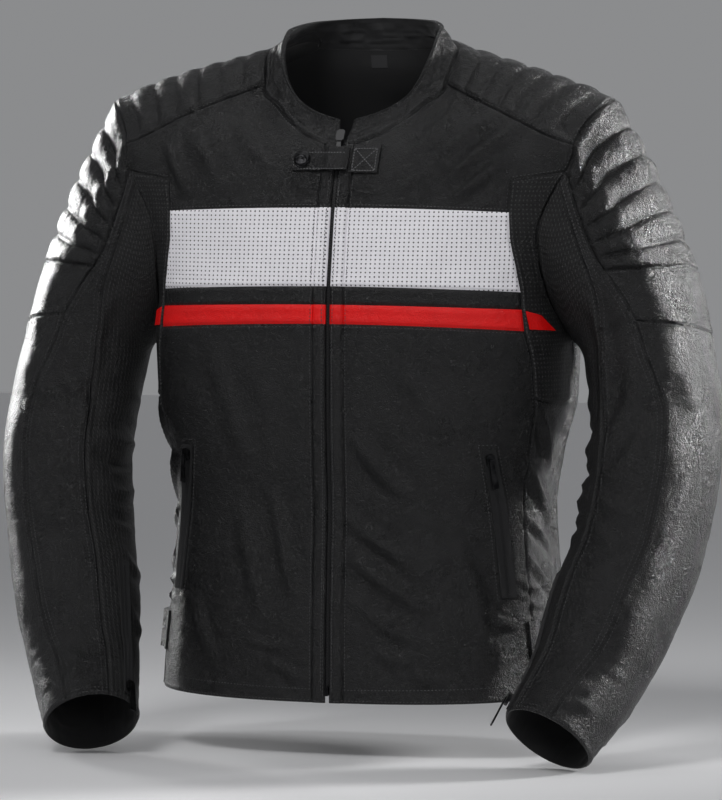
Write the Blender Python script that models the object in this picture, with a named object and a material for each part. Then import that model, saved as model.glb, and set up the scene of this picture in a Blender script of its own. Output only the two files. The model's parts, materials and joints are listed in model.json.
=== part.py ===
"""Leather motorcycle jacket, filled out as if worn, with nobody in it.

All cloth is one skin of shared points cut into pieces along its seams. The skin's points are the outside
of the leather, and each piece is a wall of even thickness behind them. Sizes are in millimetres here and
become metres when a mesh is made. +Z is up, the front faces -Y, and +X is the wearer's left.
The origin lies in the middle of the neck opening.
"""
import math

import bpy
import numpy as np
from mathutils import Vector
from mathutils.bvhtree import BVHTree

MM = 0.001
WALL = 2.2            # thickness of the leather and its backing
SEAM_GAP = 0.34       # clear gap between two pieces at a seam
LAID_GAP = 0.42       # clear gap under a piece that lies on another
SLIT_HALF = 2.0       # half of the slit between the two front edges
PLACKET = 13.0        # width of the folded front edge
PLACKET_RISE = 1.3    # how far the folded edge stands up
RIBS = 6              # padded ribs on each yoke and each sleeve cap
RIB_RISE = 4.2        # how far a padded rib stands up
MITRE_LIMIT = 1.5     # most that a wall lengthens where two pieces meet at an angle

BLACK = (0.014, 0.014, 0.016)
MATERIALS = {
    "leather_black": (BLACK, 0.42, 0.0),
    "leather_perforated": ((0.011, 0.011, 0.013), 0.5, 0.0),
    "leather_white": ((0.82, 0.80, 0.84), 0.5, 0.0),
    "leather_red": ((0.62, 0.006, 0.006), 0.45, 0.0),
    "fabric_label": ((0.02, 0.02, 0.022), 0.8, 0.0),
    "zip_tape": ((0.012, 0.012, 0.013), 0.7, 0.0),
    "metal_dark": ((0.10, 0.10, 0.11), 0.35, 0.9),
}

# A row for each level of the body: its height, half width, depths to the front and the back, how square
# the section is, and how far the front bulges near the shoulder joint.
BODY = [
    (44.0, 96.0, 8.0, 51.0, 2.2, 6.0),
    (38.0, 108.0, 13.0, 53.0, 2.2, 10.0),
    (20.0, 165.0, 24.0, 57.0, 2.6, 15.0),
    (6.0, 212.0, 32.0, 64.0, 3.0, 16.0),
    (-8.0, 255.0, 45.0, 73.0, 3.4, 14.0),
    (-24.0, 257.0, 60.0, 83.0, 3.5, 12.0),
    (-40.0, 255.0, 74.0, 92.0, 3.5, 9.0),
    (-60.0, 249.0, 87.0, 101.0, 3.5, 6.0),
    (-85.0, 236.0, 97.0, 109.0, 3.5, 3.0),
    (-113.0, 219.0, 105.0, 115.0, 3.4, 0.0),
    (-150.0, 202.0, 112.0, 120.0, 3.3, 0.0),
    (-190.0, 196.0, 118.0, 122.0, 3.2, 0.0),
    (-235.0, 202.0, 120.0, 121.0, 2.9, 0.0),
    (-286.0, 201.0, 120.0, 117.0, 2.7, 0.0),
    (-340.0, 188.0, 118.0, 106.0, 2.7, 0.0),
    (-392.0, 181.0, 115.0, 98.0, 2.7, 0.0),
    (-446.0, 184.0, 118.0, 101.0, 2.7, 0.0),
    (-520.0, 192.0, 121.0, 108.0, 2.7, 0.0),
    (-580.0, 197.0, 122.0, 111.0, 2.7, 0.0),
]

# The neck seam on the front from the slit to the yoke, and the yoke's front and back seams outwards.
NECK_FRONT = [(2.0, -53.0), (22.0, -49.0), (42.0, -40.0), (64.0, -25.0), (81.0, -10.0), (93.0, 5.0)]
YOKE_FRONT = [(93.0, 5.0), (120.0, -6.0), (148.0, -17.0), (180.0, -31.0), (204.0, -43.0), (228.0, -51.0)]
NECK_BACK = [(0.0, 38.0), (22.0, 38.5), (44.0, 39.5), (64.0, 40.5)]
YOKE_BACK = [(64.0, 40.5), (110.0, 20.0), (160.0, -4.0), (200.0, -26.0), (231.0, -46.0)]
NECK_POINT = (93.0, -10.0, 37.0)
SHOULDER_TIP = (247.0, -18.0, -9.0)

# The armhole seam below the yoke: distance in front of the side line (back: behind it) and height.
ARMHOLE_FRONT = [(62.5, -51.0), (69.0, -76.0), (76.0, -103.0), (75.0, -131.0), (61.0, -170.0),
                 (32.0, -213.0), (0.0, -235.0)]
ARMHOLE_BACK = [(0.0, -235.0), (32.0, -212.0), (56.0, -172.0), (68.0, -130.0), (68.0, -96.0),
                (60.0, -68.0), (52.0, -46.0)]

# Heights of the seams across the front at the slit and at the side piece, and of the rows behind.
FRONT_ROWS = [("chest", -90.0, -84.0), ("band_top", -110.0, -114.0), ("band_bottom", -183.0, -188.0),
              ("stripe_top", -200.0, -204.0), ("stripe_bottom", -218.0, -224.0),
              ("side_top", -290.0, -287.0), ("hem", -571.0, -567.0)]
HEM_SIDE = -563.0
HEM_BACK = -565.0
UNDERARM = -235.0

# The seam between front and side pieces: height and distance in front of the side line (x near the top).
SIDE_FRONT_TOP = [(-84.0, 169.0), (-114.0, 167.0), (-153.0, 170.0), (-188.0, 176.0), (-224.0, 179.0)]
SIDE_FRONT = [(-262.0, 69.0), (-287.0, 66.0), (-340.0, 59.0), (-400.0, 55.0), (-480.0, 56.0),
              (-567.0, 60.0)]
SIDE_BACK = [(-235.0, 0.0), (-286.0, 12.0), (-340.0, 25.0), (-400.0, 32.0), (-563.0, 36.0)]

# The sleeve from the upper arm to the cuff: centre, half width across and half depth.
SLEEVE = [
    (280.0, -13.0, -244.0, 61.0, 61.0),
    (290.0, -22.0, -300.0, 62.0, 61.5),
    (292.0, -35.0, -342.0, 62.5, 61.5),
    (281.0, -55.0, -426.0, 61.5, 60.0),
    (265.0, -79.0, -482.0, 60.5, 57.0),
    (249.0, -105.0, -537.0, 53.5, 49.0),
    (223.0, -152.0, -593.0, 45.0, 43.0),
]
ARM_CENTRE_Z = -110.0
SLEEVE_TURNS = (1.0, 6.0)      # where the rings of the table start, and where they end
# Angles round the sleeve (0 outside, 90 front, 180 body side) of its three long seams at places along it.
SLEEVE_SEAM_ROWS = [
    (0.0, 63.0, 71.0, 265.0),
    (0.5, 84.0, 98.0, 265.0),
    (0.9, 82.0, 118.0, 265.0),
    (1.5, 74.0, 124.0, 265.0),
    (2.0, 69.0, 126.0, 265.0),
    (4.0, 67.0, 127.0, 265.0),
    (6.0, 73.0, 128.0, 265.0),
]
CAP_END = (0.72, 0.50)         # how far along the cap ends, at the outside and at its two long seams
MID_END = (0.97, 0.85)
SLEEVE_LOWER_ROWS = 12
CUFF_ZIP_AT = 155.0            # angle of the cuff zip round the sleeve

# The top edge of the collar from the front corner to the middle of the back.
COLLAR_TOP = [(7.0, -60.0, -28.0), (30.0, -57.0, -21.0), (54.0, -48.0, -6.0), (67.0, -42.0, 17.0),
              (74.0, -26.0, 44.0), (74.0, -8.0, 57.0), (60.0, 22.0, 65.0), (30.0, 40.0, 68.0),
              (0.0, 46.0, 69.0)]

YOKE_ROWS = 4                  # rows of the yoke on each side of the shoulder line
BACK_NECK_COLUMNS = 3
SIDE_COLUMNS = 4               # columns of the armhole and side panels


# ---------------------------------------------------------------- curves and sections

def smooth(table, at):
    """Smooth values of a table (first column rising or falling steadily) at the places in at."""
    rows = np.array(table, float)
    if rows[0, 0] > rows[-1, 0]:
        rows = rows[::-1]
    x, y = rows[:, 0], rows[:, 1:]
    step = np.diff(x)[:, None]
    slope = np.diff(y, axis=0) / step
    tangent = np.zeros_like(y)
    tangent[0], tangent[-1] = slope[0], slope[-1]
    inner = slope[:-1] * slope[1:]
    mean = 2 * inner / np.where(slope[:-1] + slope[1:] == 0, 1, slope[:-1] + slope[1:])
    tangent[1:-1] = np.where(inner > 0, mean, 0)
    at = np.clip(np.asarray(at, float), x[0], x[-1])
    i = np.clip(np.searchsorted(x, at, side="right") - 1, 0, len(x) - 2)
    h = (x[i + 1] - x[i])[..., None]
    s = ((at - x[i])[..., None]) / h
    return ((1 + 2 * s) * (1 - s) ** 2 * y[i] + s * (1 - s) ** 2 * h * tangent[i]
            + s * s * (3 - 2 * s) * y[i + 1] + s * s * (s - 1) * h * tangent[i + 1])


def along(points, fractions):
    """Points at the given fractions of the length of a smooth curve through the given points."""
    pts = np.array(points, float)
    knots = np.concatenate([[0], np.cumsum(np.linalg.norm(np.diff(pts, axis=0), axis=1))])
    fine = np.linspace(0, knots[-1], 400)
    curve = smooth(np.column_stack([knots, pts]), fine)
    length = np.concatenate([[0], np.cumsum(np.linalg.norm(np.diff(curve, axis=0), axis=1))])
    where = np.asarray(fractions, float) * length[-1]
    return np.column_stack([np.interp(where, length, curve[:, k]) for k in range(pts.shape[1])])


def sections(z, samples=91):
    """Half sections of the body at the heights z: points from the middle of the front to the side and
    on to the middle of the back, with the share of the way (0 front, 1 side, 2 back) of each."""
    z = np.atleast_1d(np.asarray(z, float))
    half_width, front, back, square, shoulder = smooth(BODY, z).T[:, :, None]
    turn = np.linspace(0, math.pi / 2, samples)[None, :] ** 1.6 / (math.pi / 2) ** 0.6
    out = np.sin(turn) ** (2 / square)
    deep = np.clip(np.cos(turn), 0, 1) ** (2 / square)
    x = half_width * out
    bulge = shoulder * np.sin(np.pi * np.clip((x - 50) / 200, 0, 1)) ** 2
    front_y = -front * deep - bulge
    back_y = back * deep
    shares, lines = [], []
    for y in (front_y, back_y):
        run = np.concatenate([np.zeros((len(z), 1)),
                              np.cumsum(np.hypot(np.diff(x, axis=1), np.diff(y, axis=1)), axis=1)], axis=1)
        shares.append(run / run[:, -1:])
        lines.append((x, y))
    return shares, lines


def body(p, z):
    """A point of the body for each p (0 middle of the front, 1 side, 2 middle of the back) and height."""
    p = np.asarray(p, float).ravel()
    z = np.asarray(z, float).ravel()
    shares, lines = sections(z)
    out = np.zeros((len(p), 3))
    for i, (pi, zi) in enumerate(zip(p, z)):
        side = 0 if pi <= 1 else 1
        share = pi if pi <= 1 else 2 - pi
        x, y = lines[side]
        out[i] = (np.interp(share, shares[side][i], x[i]), np.interp(share, shares[side][i], y[i]), zi)
    return out


def on_x(x, z, behind=False):
    """The p of the body point at half width x and height z."""
    shares, lines = sections(z)
    side = 1 if behind else 0
    share = np.array([np.interp(xi, lines[side][0][i], shares[side][i])
                      for i, xi in enumerate(np.atleast_1d(np.asarray(x, float)))])
    return 2 - share if behind else share


def on_y(y, z, behind=False):
    """The p of the body point at distance y before (or behind) the side line and height z."""
    shares, lines = sections(z)
    side = 1 if behind else 0
    share = np.array([np.interp(-abs(yi), -np.abs(lines[side][1][i]), shares[side][i])
                      for i, yi in enumerate(np.atleast_1d(np.asarray(y, float)))])
    return 2 - share if behind else share


def patch(top, bottom, left, right):
    """A grid in (p, z) between four edges, each a list of (p, z), rows from top to bottom."""
    top, bottom, left, right = (np.array(edge, float) for edge in (top, bottom, left, right))
    rows, columns = len(left), len(top)
    v = np.linspace(0, 1, rows)[:, None, None]
    u = np.linspace(0, 1, columns)[None, :, None]
    corners = ((1 - u) * (1 - v) * top[0] + u * (1 - v) * top[-1]
               + (1 - u) * v * bottom[0] + u * v * bottom[-1])
    return ((1 - v) * top[None] + v * bottom[None] + (1 - u) * left[:, None] + u * right[:, None] - corners)


# ---------------------------------------------------------------- the shared skin

SAME_POINT = 0.05
GROUPS = ("sleeve", "yoke", "collar")     # the rest of the pieces are the body
NEIGHBOURS = [(a, b, c) for a in (0, -1, 1) for b in (0, -1, 1) for c in (0, -1, 1)]


class Skin:
    """The outside of the cloth: shared points, the piece of each face, and what stands up from it."""

    def __init__(self):
        self.points, self.rise, self.index = [], [], {}
        self.faces = {}
        self.hanging = {}

    def add(self, point, rise=0.0):
        """The number of the point, which is shared with any point within SAME_POINT of it."""
        cell = tuple(int(math.floor(c)) for c in point)
        for step in NEIGHBOURS:
            for k in self.index.get((cell[0] + step[0], cell[1] + step[1], cell[2] + step[2]), ()):
                if max(abs(self.points[k] - point)) < SAME_POINT:
                    return k
        self.index.setdefault(cell, []).append(len(self.points))
        self.points.append(np.array(point, float))
        self.rise.append(rise)
        return len(self.points) - 1

    def grid(self, points, rise=None):
        rise = np.zeros(points.shape[:2]) if rise is None else rise
        return np.array([[self.add(p, r) for p, r in zip(row, rises)] for row, rises in zip(points, rise)])

    def fill(self, name, ids, flip=False):
        """Adds a grid of faces to a piece. Rows run down and columns run towards +X seen from outside."""
        for i in range(ids.shape[0] - 1):
            for j in range(ids.shape[1] - 1):
                ring = [ids[i, j], ids[i + 1, j], ids[i + 1, j + 1], ids[i, j + 1]]
                self.faces.setdefault(name, []).append(tuple(ring[::-1] if flip else ring))

    def finish(self):
        """Normals averaged over all pieces, so walls that meet at a seam share their direction."""
        self.points = np.array(self.points)
        self.rise = np.array(self.rise)
        for child, (a, b, share) in self.hanging.items():
            self.points[child] = (1 - share) * self.points[a] + share * self.points[b]
        count = len(self.points)
        groups = {}
        for name, faces in self.faces.items():
            group = groups.setdefault(name.split("_")[0] if name.startswith(GROUPS) else "body",
                                      np.zeros_like(self.points))
            for face in faces:
                a, b, c, d = (self.points[k] for k in face)
                n = np.cross(c - a, d - b)
                for k in face:
                    group[k] += n
        for group in groups.values():
            group /= np.maximum(np.linalg.norm(group, axis=1, keepdims=True), 1e-9)
        normals = sum(groups.values())
        normals /= np.maximum(np.linalg.norm(normals, axis=1, keepdims=True), 1e-9)
        self.stretch = np.ones(count)
        for group in groups.values():
            lean = (group * normals).sum(axis=1)
            there = np.linalg.norm(group, axis=1) > 0.5
            self.stretch[there] = np.maximum(self.stretch[there], 1 / np.maximum(lean[there], 0.3))
        self.stretch = np.minimum(self.stretch, MITRE_LIMIT)
        for child, (a, b, share) in self.hanging.items():
            n = (1 - share) * normals[a] * self.stretch[a] + share * normals[b] * self.stretch[b]
            self.stretch[child] = np.linalg.norm(n)
            normals[child] = n / self.stretch[child]
        self.normals = normals

    def wall(self, name):
        """The closed wall of one piece: vertices and faces, its edges drawn in by half the seam gap."""
        faces = self.faces[name]
        used = sorted({k for face in faces for k in face})
        local = {k: i for i, k in enumerate(used)}
        half_edges = {}
        for face in faces:
            for a, b in zip(face, face[1:] + face[:1]):
                half_edges[(a, b)] = face
        border = [(a, b) for (a, b) in half_edges if (b, a) not in half_edges]
        inward = {}
        for a, b in border:
            run = self.points[b] - self.points[a]
            side = np.cross(self.normals[a] + self.normals[b], run)
            middle = self.points[list(half_edges[(a, b)])].mean(axis=0)
            side *= np.sign(np.dot(side, middle - (self.points[a] + self.points[b]) / 2)) or 1
            side /= max(np.linalg.norm(side), 1e-9)
            inward.setdefault(a, []).append(side)
            inward.setdefault(b, []).append(side)
        shift = {k: sum(s) / max(1 + float(np.dot(s[0], s[-1])), 0.5) * SEAM_GAP / 2 if len(s) > 1 else
                 s[0] * SEAM_GAP / 2 for k, s in inward.items()}
        outer, inner = [], []
        for k in used:
            base = self.points[k] + shift.get(k, 0)
            outer.append(base + self.normals[k] * self.rise[k])
            inner.append(base - self.normals[k] * WALL * self.stretch[k])
        count = len(used)
        built = []
        for face in faces:
            f = [local[k] for k in face]
            built += [(f[0], f[1], f[2]), (f[0], f[2], f[3])]
            g = [i + count for i in f]
            built += [(g[0], g[2], g[1]), (g[0], g[3], g[2])]
        for a, b in border:
            a, b = local[a], local[b]
            built += [(b, a, a + count), (b, a + count, b + count)]
        return np.array(outer + inner), built


def mesh_object(name, points, faces, material, smooth_shaded=True):
    mesh = bpy.data.meshes.new(name)
    mesh.from_pydata([tuple(p) for p in np.asarray(points) * MM], [], faces)
    mesh.validate()
    mesh.materials.append(material)
    if smooth_shaded:
        mesh.shade_smooth()
        mesh.set_sharp_from_angle(angle=math.radians(50))
    made = bpy.data.objects.new(name, mesh)
    bpy.context.scene.collection.objects.link(made)
    return made


# ---------------------------------------------------------------- the body of the jacket

def front_edges():
    """The named lines of one front in (p, z): the slit, the side seam's front, the armhole, the rows."""
    side_top = [(z, float(on_x(x, z)[0])) for z, x in SIDE_FRONT_TOP]
    side_low = [(z, float(on_y(y, z)[0])) for z, y in SIDE_FRONT]
    side_front = side_top + side_low
    side_back = [(z, float(on_y(y, z, behind=True)[0])) for z, y in SIDE_BACK]
    return side_front, side_back


def line_at(table, heights):
    """(p, z) at the given heights of a line kept as (z, p) rows."""
    heights = np.asarray(heights, float)
    return np.column_stack([smooth(table, heights)[:, 0], heights])


def build_body(skin, side):
    """The front, side and back pieces of one half. side is 1 for the wearer's left and -1 for the right."""
    tag = "_l" if side > 0 else "_r"
    flip = side < 0
    side_front, side_back = front_edges()

    def points(grid_pz):
        flat = grid_pz.reshape(-1, 2)
        xyz = body(flat[:, 0], flat[:, 1])
        xyz[:, 0] *= side
        return xyz.reshape(grid_pz.shape[0], grid_pz.shape[1], 3)

    def to_pz(pairs, behind=False):
        pairs = np.array(pairs, float)
        return np.column_stack([on_x(pairs[:, 0], pairs[:, 1], behind), pairs[:, 1]])

    neck_xs = [SLIT_HALF, SLIT_HALF + PLACKET - 1.5, SLIT_HALF + PLACKET + 0.5]
    neck = along(NECK_FRONT, np.linspace(0, 1, 101))
    start = np.interp(neck_xs[2], neck[:, 0], np.linspace(0, 1, 101))
    neck_shares = [0, np.interp(neck_xs[1], neck[:, 0], np.linspace(0, 1, 101)),
                   *np.linspace(start, 1, 5)]
    neck_pz = to_pz(along(NECK_FRONT, neck_shares))
    strip_share = 1 - 1 / 9
    yoke_shares = np.append(np.linspace(0, strip_share, RIBS + 1), 1)
    yoke_pz = to_pz(along(YOKE_FRONT, yoke_shares))
    top = np.vstack([neck_pz, yoke_pz[1:]])
    body_columns = len(top) - SIDE_COLUMNS          # columns of the front up to the side piece

    def row_line(z_slit, z_side):
        """A seam across the front, level at the slit and ending at the side seam."""
        p_end = float(smooth(side_front, [z_side])[0, 0])
        xs = np.array(neck_xs)
        p_start = [float(on_x(x, z_slit)[0]) for x in xs]
        spread = np.linspace(p_start[2], p_end, body_columns - 2)
        p = np.concatenate([p_start[:2], spread])
        share = (p - p[0]) / (p[-1] - p[0])
        return np.column_stack([p, z_slit + (z_side - z_slit) * share ** 2])

    def slit_line(z_from, z_to, count):
        z = np.linspace(z_from, z_to, count)
        return np.column_stack([on_x(np.full(count, SLIT_HALF), z), z])

    def side_line(table, z_from, z_to, count):
        return line_at(table, np.linspace(z_from, z_to, count))

    armhole = along([(y, z) for y, z in ARMHOLE_FRONT], np.linspace(0, 1, 201))
    to_gusset = (armhole[:, 1] > ARMHOLE_FRONT[1][1]).mean()
    first = np.linspace(0, to_gusset, 3)
    short = to_gusset + np.array([0.022, 0.05])
    rest = np.linspace(short[-1], 1, 6)[1:]
    arm_yz = along(ARMHOLE_FRONT, np.concatenate([first, short, rest]))
    arm_pz = np.column_stack([on_y(arm_yz[:, 0], arm_yz[:, 1]), arm_yz[:, 1]])
    arm_pz[-1, 0] = 1.0

    def add(name, grid_pz):
        columns = grid_pz.shape[1]
        raised = np.zeros(grid_pz.shape[:2])
        if columns == body_columns or columns == len(top):
            raised[:, :2] = PLACKET_RISE
        ids = skin.grid(points(grid_pz), raised)
        skin.fill(name + tag, ids, flip)
        return ids

    rows = {name: (z_slit, z_side) for name, z_slit, z_side in FRONT_ROWS}
    chest = row_line(*rows["chest"])
    gusset_top = np.linspace(chest[-1], arm_pz[2], SIDE_COLUMNS + 1)
    chest_all = np.vstack([chest, gusset_top[1:]])
    upper = add("front_upper", patch(top, chest_all, slit_line(-53.0, rows["chest"][0], 3), arm_pz[:3]))
    plan = [("front_upper", "chest", "band_top", 3), ("white_band", "band_top", "band_bottom", 4),
            ("black_strip", "band_bottom", "stripe_top", 2), ("red_stripe", "stripe_top", "stripe_bottom", 2),
            ("front_lower", "stripe_bottom", "side_top", 3), ("front_lower", "side_top", "hem", 9)]
    side_rows = [np.array([chest[-1]])]
    for name, above, below, count in plan:
        left = slit_line(rows[above][0], rows[below][0], count)
        right = side_line(side_front, rows[above][1], rows[below][1], count)
        add(name, patch(row_line(*rows[above]), row_line(*rows[below]), left, right))
        side_rows.append(right[1:])
    side_column = np.vstack(side_rows)
    arm_rows = len(arm_pz) - 2
    sag = np.sin(np.linspace(0, math.pi, SIDE_COLUMNS + 1))
    under = np.linspace(side_column[arm_rows - 1], arm_pz[-1], SIDE_COLUMNS + 1)
    under[:, 1] += 3.0 * sag
    gusset = add("armhole_mesh", patch(gusset_top, under, side_column[:arm_rows], arm_pz[2:]))

    hem_back = (float(smooth(side_back, [HEM_SIDE])[0, 0]), HEM_SIDE)
    back_rows_z = np.concatenate([np.linspace(UNDERARM, rows["side_top"][1], 3),
                                  np.linspace(rows["side_top"][1], HEM_SIDE, 9)[1:]])
    back_column = line_at(side_back, back_rows_z)
    back_column[0] = arm_pz[-1]
    back_column[-1] = hem_back
    gore = np.linspace(side_column[arm_rows + 1], back_column[2], SIDE_COLUMNS + 1)
    gore[:, 1] -= 6.0 * sag
    add("armhole_mesh", patch(under, gore, side_column[arm_rows - 1:arm_rows + 2], back_column[:3]))
    hem_side = np.linspace(side_column[-1], back_column[-1], SIDE_COLUMNS + 1)
    add("side_panel", patch(gore, hem_side, side_column[arm_rows + 1:], back_column[2:]))

    back_yoke = to_pz(along(YOKE_BACK, yoke_shares), behind=True)
    back_neck = to_pz(along(NECK_BACK, np.linspace(1, 0, BACK_NECK_COLUMNS + 1)), behind=True)
    back_top = np.vstack([back_yoke[::-1], back_neck[1:]])
    back_arm = along(ARMHOLE_BACK[::-1], np.array([0, 0.13, 0.28, 0.46, 0.64, 0.82, 1.0]))
    back_arm_pz = np.column_stack([on_y(back_arm[:, 0], back_arm[:, 1], behind=True), back_arm[:, 1]])
    back_arm_pz[-1, 0] = 1.0
    back_arm_pz[0] = back_top[0]
    middle_top = np.column_stack([np.full(7, 2.0), np.linspace(back_top[-1, 1], UNDERARM - 5, 7)])
    waist_row = np.linspace(back_arm_pz[-1], middle_top[-1], len(back_top))
    back_upper = skin.grid(points(patch(back_top, waist_row, back_arm_pz, middle_top)))
    skin.fill("back", back_upper, flip)
    middle_low = np.column_stack([np.full(len(back_rows_z), 2.0),
                                  np.linspace(UNDERARM - 5, HEM_BACK, len(back_rows_z))])
    hem_row = np.linspace(back_column[-1], middle_low[-1], len(back_top))
    back_lower = skin.grid(points(patch(waist_row, hem_row, back_column, middle_low)))
    skin.fill("back", back_lower, flip)

    front_corner = len(neck_pz) - 1
    return {"neck_front": upper[0, :front_corner + 1], "yoke_front": upper[0, front_corner:],
            "arm_upper": upper[:, -1], "arm_gusset": gusset[:, -1], "arm_back": back_upper[:, 0],
            "yoke_back": back_upper[0, :len(yoke_shares)][::-1], "neck_back": back_upper[0, RIBS + 1:],
            "yoke_shares": yoke_shares}


# ---------------------------------------------------------------- yoke, sleeve and collar

def hermite(a, b, ta, tb, s):
    s = np.asarray(s, float)[:, None]
    return ((1 + 2 * s) * (1 - s) ** 2 * a + s * (1 - s) ** 2 * ta
            + s * s * (3 - 2 * s) * b + s * s * (s - 1) * tb)


def unit(vector):
    vector = np.asarray(vector, float)
    return vector / np.linalg.norm(vector)


def build_yoke(skin, side, edges):
    """Six padded ribs from the front seam over the shoulder line to the back seam."""
    tag = "_l" if side > 0 else "_r"
    mirror = np.array([side, 1, 1])
    coarse_front = np.array([skin.points[k] for k in edges["yoke_front"]]) * mirror
    coarse_back = np.array([skin.points[k] for k in edges["yoke_back"]]) * mirror
    shares = edges["yoke_shares"]
    fine, pattern = [], []
    for rib in range(RIBS):
        for third in range(3):
            fine.append(shares[rib] + (shares[rib + 1] - shares[rib]) * third / 3)
            pattern.append(0 if third == 0 else 0.35 if rib == 0 and third == 1 else 1)
    fine += [shares[RIBS], 1.0]
    pattern += [0, 0]
    fine = np.array(fine)
    front = np.column_stack([np.interp(fine, shares, coarse_front[:, k]) for k in range(3)])
    back = np.column_stack([np.interp(fine, shares, coarse_back[:, k]) for k in range(3)])
    ridge = np.outer(1 - fine, NECK_POINT) + np.outer(fine, SHOULDER_TIP)
    ridge[:, 2] += 3.0 * np.sin(np.pi * fine)
    columns = []
    for f, r, b in zip(front, ridge, back):
        up_front = unit((0.1, 0.62, 0.78)) * np.linalg.norm(r - f)
        over = unit((b - f) * (1, 1, 0.15)) * np.linalg.norm(b - f) / 2
        down_back = unit((0.05, 0.55, -0.83)) * np.linalg.norm(b - r)
        half = np.linspace(0, 1, YOKE_ROWS + 1)
        columns.append(np.vstack([hermite(f, r, up_front, over, half),
                                  hermite(r, b, over, down_back, half)[1:]]))
    grid = np.array(columns).transpose(1, 0, 2)
    fade = np.ones(grid.shape[0])
    fade[0] = fade[-1] = 0
    fade[1] = fade[-2] = 0.85
    ids = skin.grid(grid * mirror, np.outer(fade, pattern) * RIB_RISE)
    for edge, row in ((edges["yoke_front"], 0), (edges["yoke_back"], -1)):
        for rib in range(RIBS):
            for third in (1, 2):
                skin.hanging[ids[row, rib * 3 + third]] = (edge[rib], edge[rib + 1], third / 3)
    # Rows run from the front seam backwards, so the order of rows is turned to keep faces outwards.
    skin.fill("yoke" + tag, ids[::-1], side < 0)
    return ids


def ring_frame(table, w):
    """Centre, direction and the outward and forward axes of the sleeve's rings at w."""
    places = np.linspace(*SLEEVE_TURNS, len(table))
    rows = smooth(np.column_stack([places, np.array(table)]), w)
    ahead = smooth(np.column_stack([places, np.array(table)]), np.minimum(w + 0.05, SLEEVE_TURNS[1]))
    before = smooth(np.column_stack([places, np.array(table)]), np.maximum(w - 0.05, SLEEVE_TURNS[0]))
    run = ahead[:, :3] - before[:, :3]
    run /= np.linalg.norm(run, axis=1, keepdims=True)
    outward = np.array([1.0, 0, 0]) - run * run[:, :1]
    outward /= np.linalg.norm(outward, axis=1, keepdims=True)
    forward = np.cross(run, outward)
    return rows, run, outward, forward


def ring_point(angle, w):
    rows, run, outward, forward = ring_frame(SLEEVE, w)
    turn = np.radians(angle)
    return (rows[:, :3] + (rows[:, 3] * np.cos(turn))[:, None] * outward
            + (rows[:, 4] * np.sin(turn))[:, None] * forward), run


def make_sleeve_form(ring_points):
    """The sleeve as a function of the angle and the way along, from the armhole ring to the cuff."""
    angles = np.degrees(np.arctan2(-ring_points[:, 1], ring_points[:, 2] - ARM_CENTRE_Z)) % 360
    angles[0] = 0.0
    loop = np.column_stack([np.append(angles, 360.0), np.vstack([ring_points, ring_points[:1]])])

    def form(angle, w):
        angle, w = np.asarray(angle, float) % 360, np.asarray(w, float)
        near = np.clip(w, 0, SLEEVE_TURNS[0])[:, None] / SLEEVE_TURNS[0]
        start = smooth(loop, angle)
        end, run = ring_point(angle, np.full(len(w), SLEEVE_TURNS[0]))
        chord = end - start
        length = np.linalg.norm(chord, axis=1, keepdims=True)
        top = np.clip(np.cos(np.radians(angle)), 0, 1)[:, None] ** 2
        leave = chord / length * (1 - top) + top * unit((0.55, 0, -0.83))
        leave *= length
        reach = run * length
        shoulder = ((1 + 2 * near) * (1 - near) ** 2 * start + near * (1 - near) ** 2 * leave
                    + near ** 2 * (3 - 2 * near) * end + near ** 2 * (near - 1) * reach)
        arm, _ = ring_point(angle, np.clip(w, *SLEEVE_TURNS))
        return np.where((w <= SLEEVE_TURNS[0])[:, None], shoulder, arm)

    return angles, form


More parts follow.
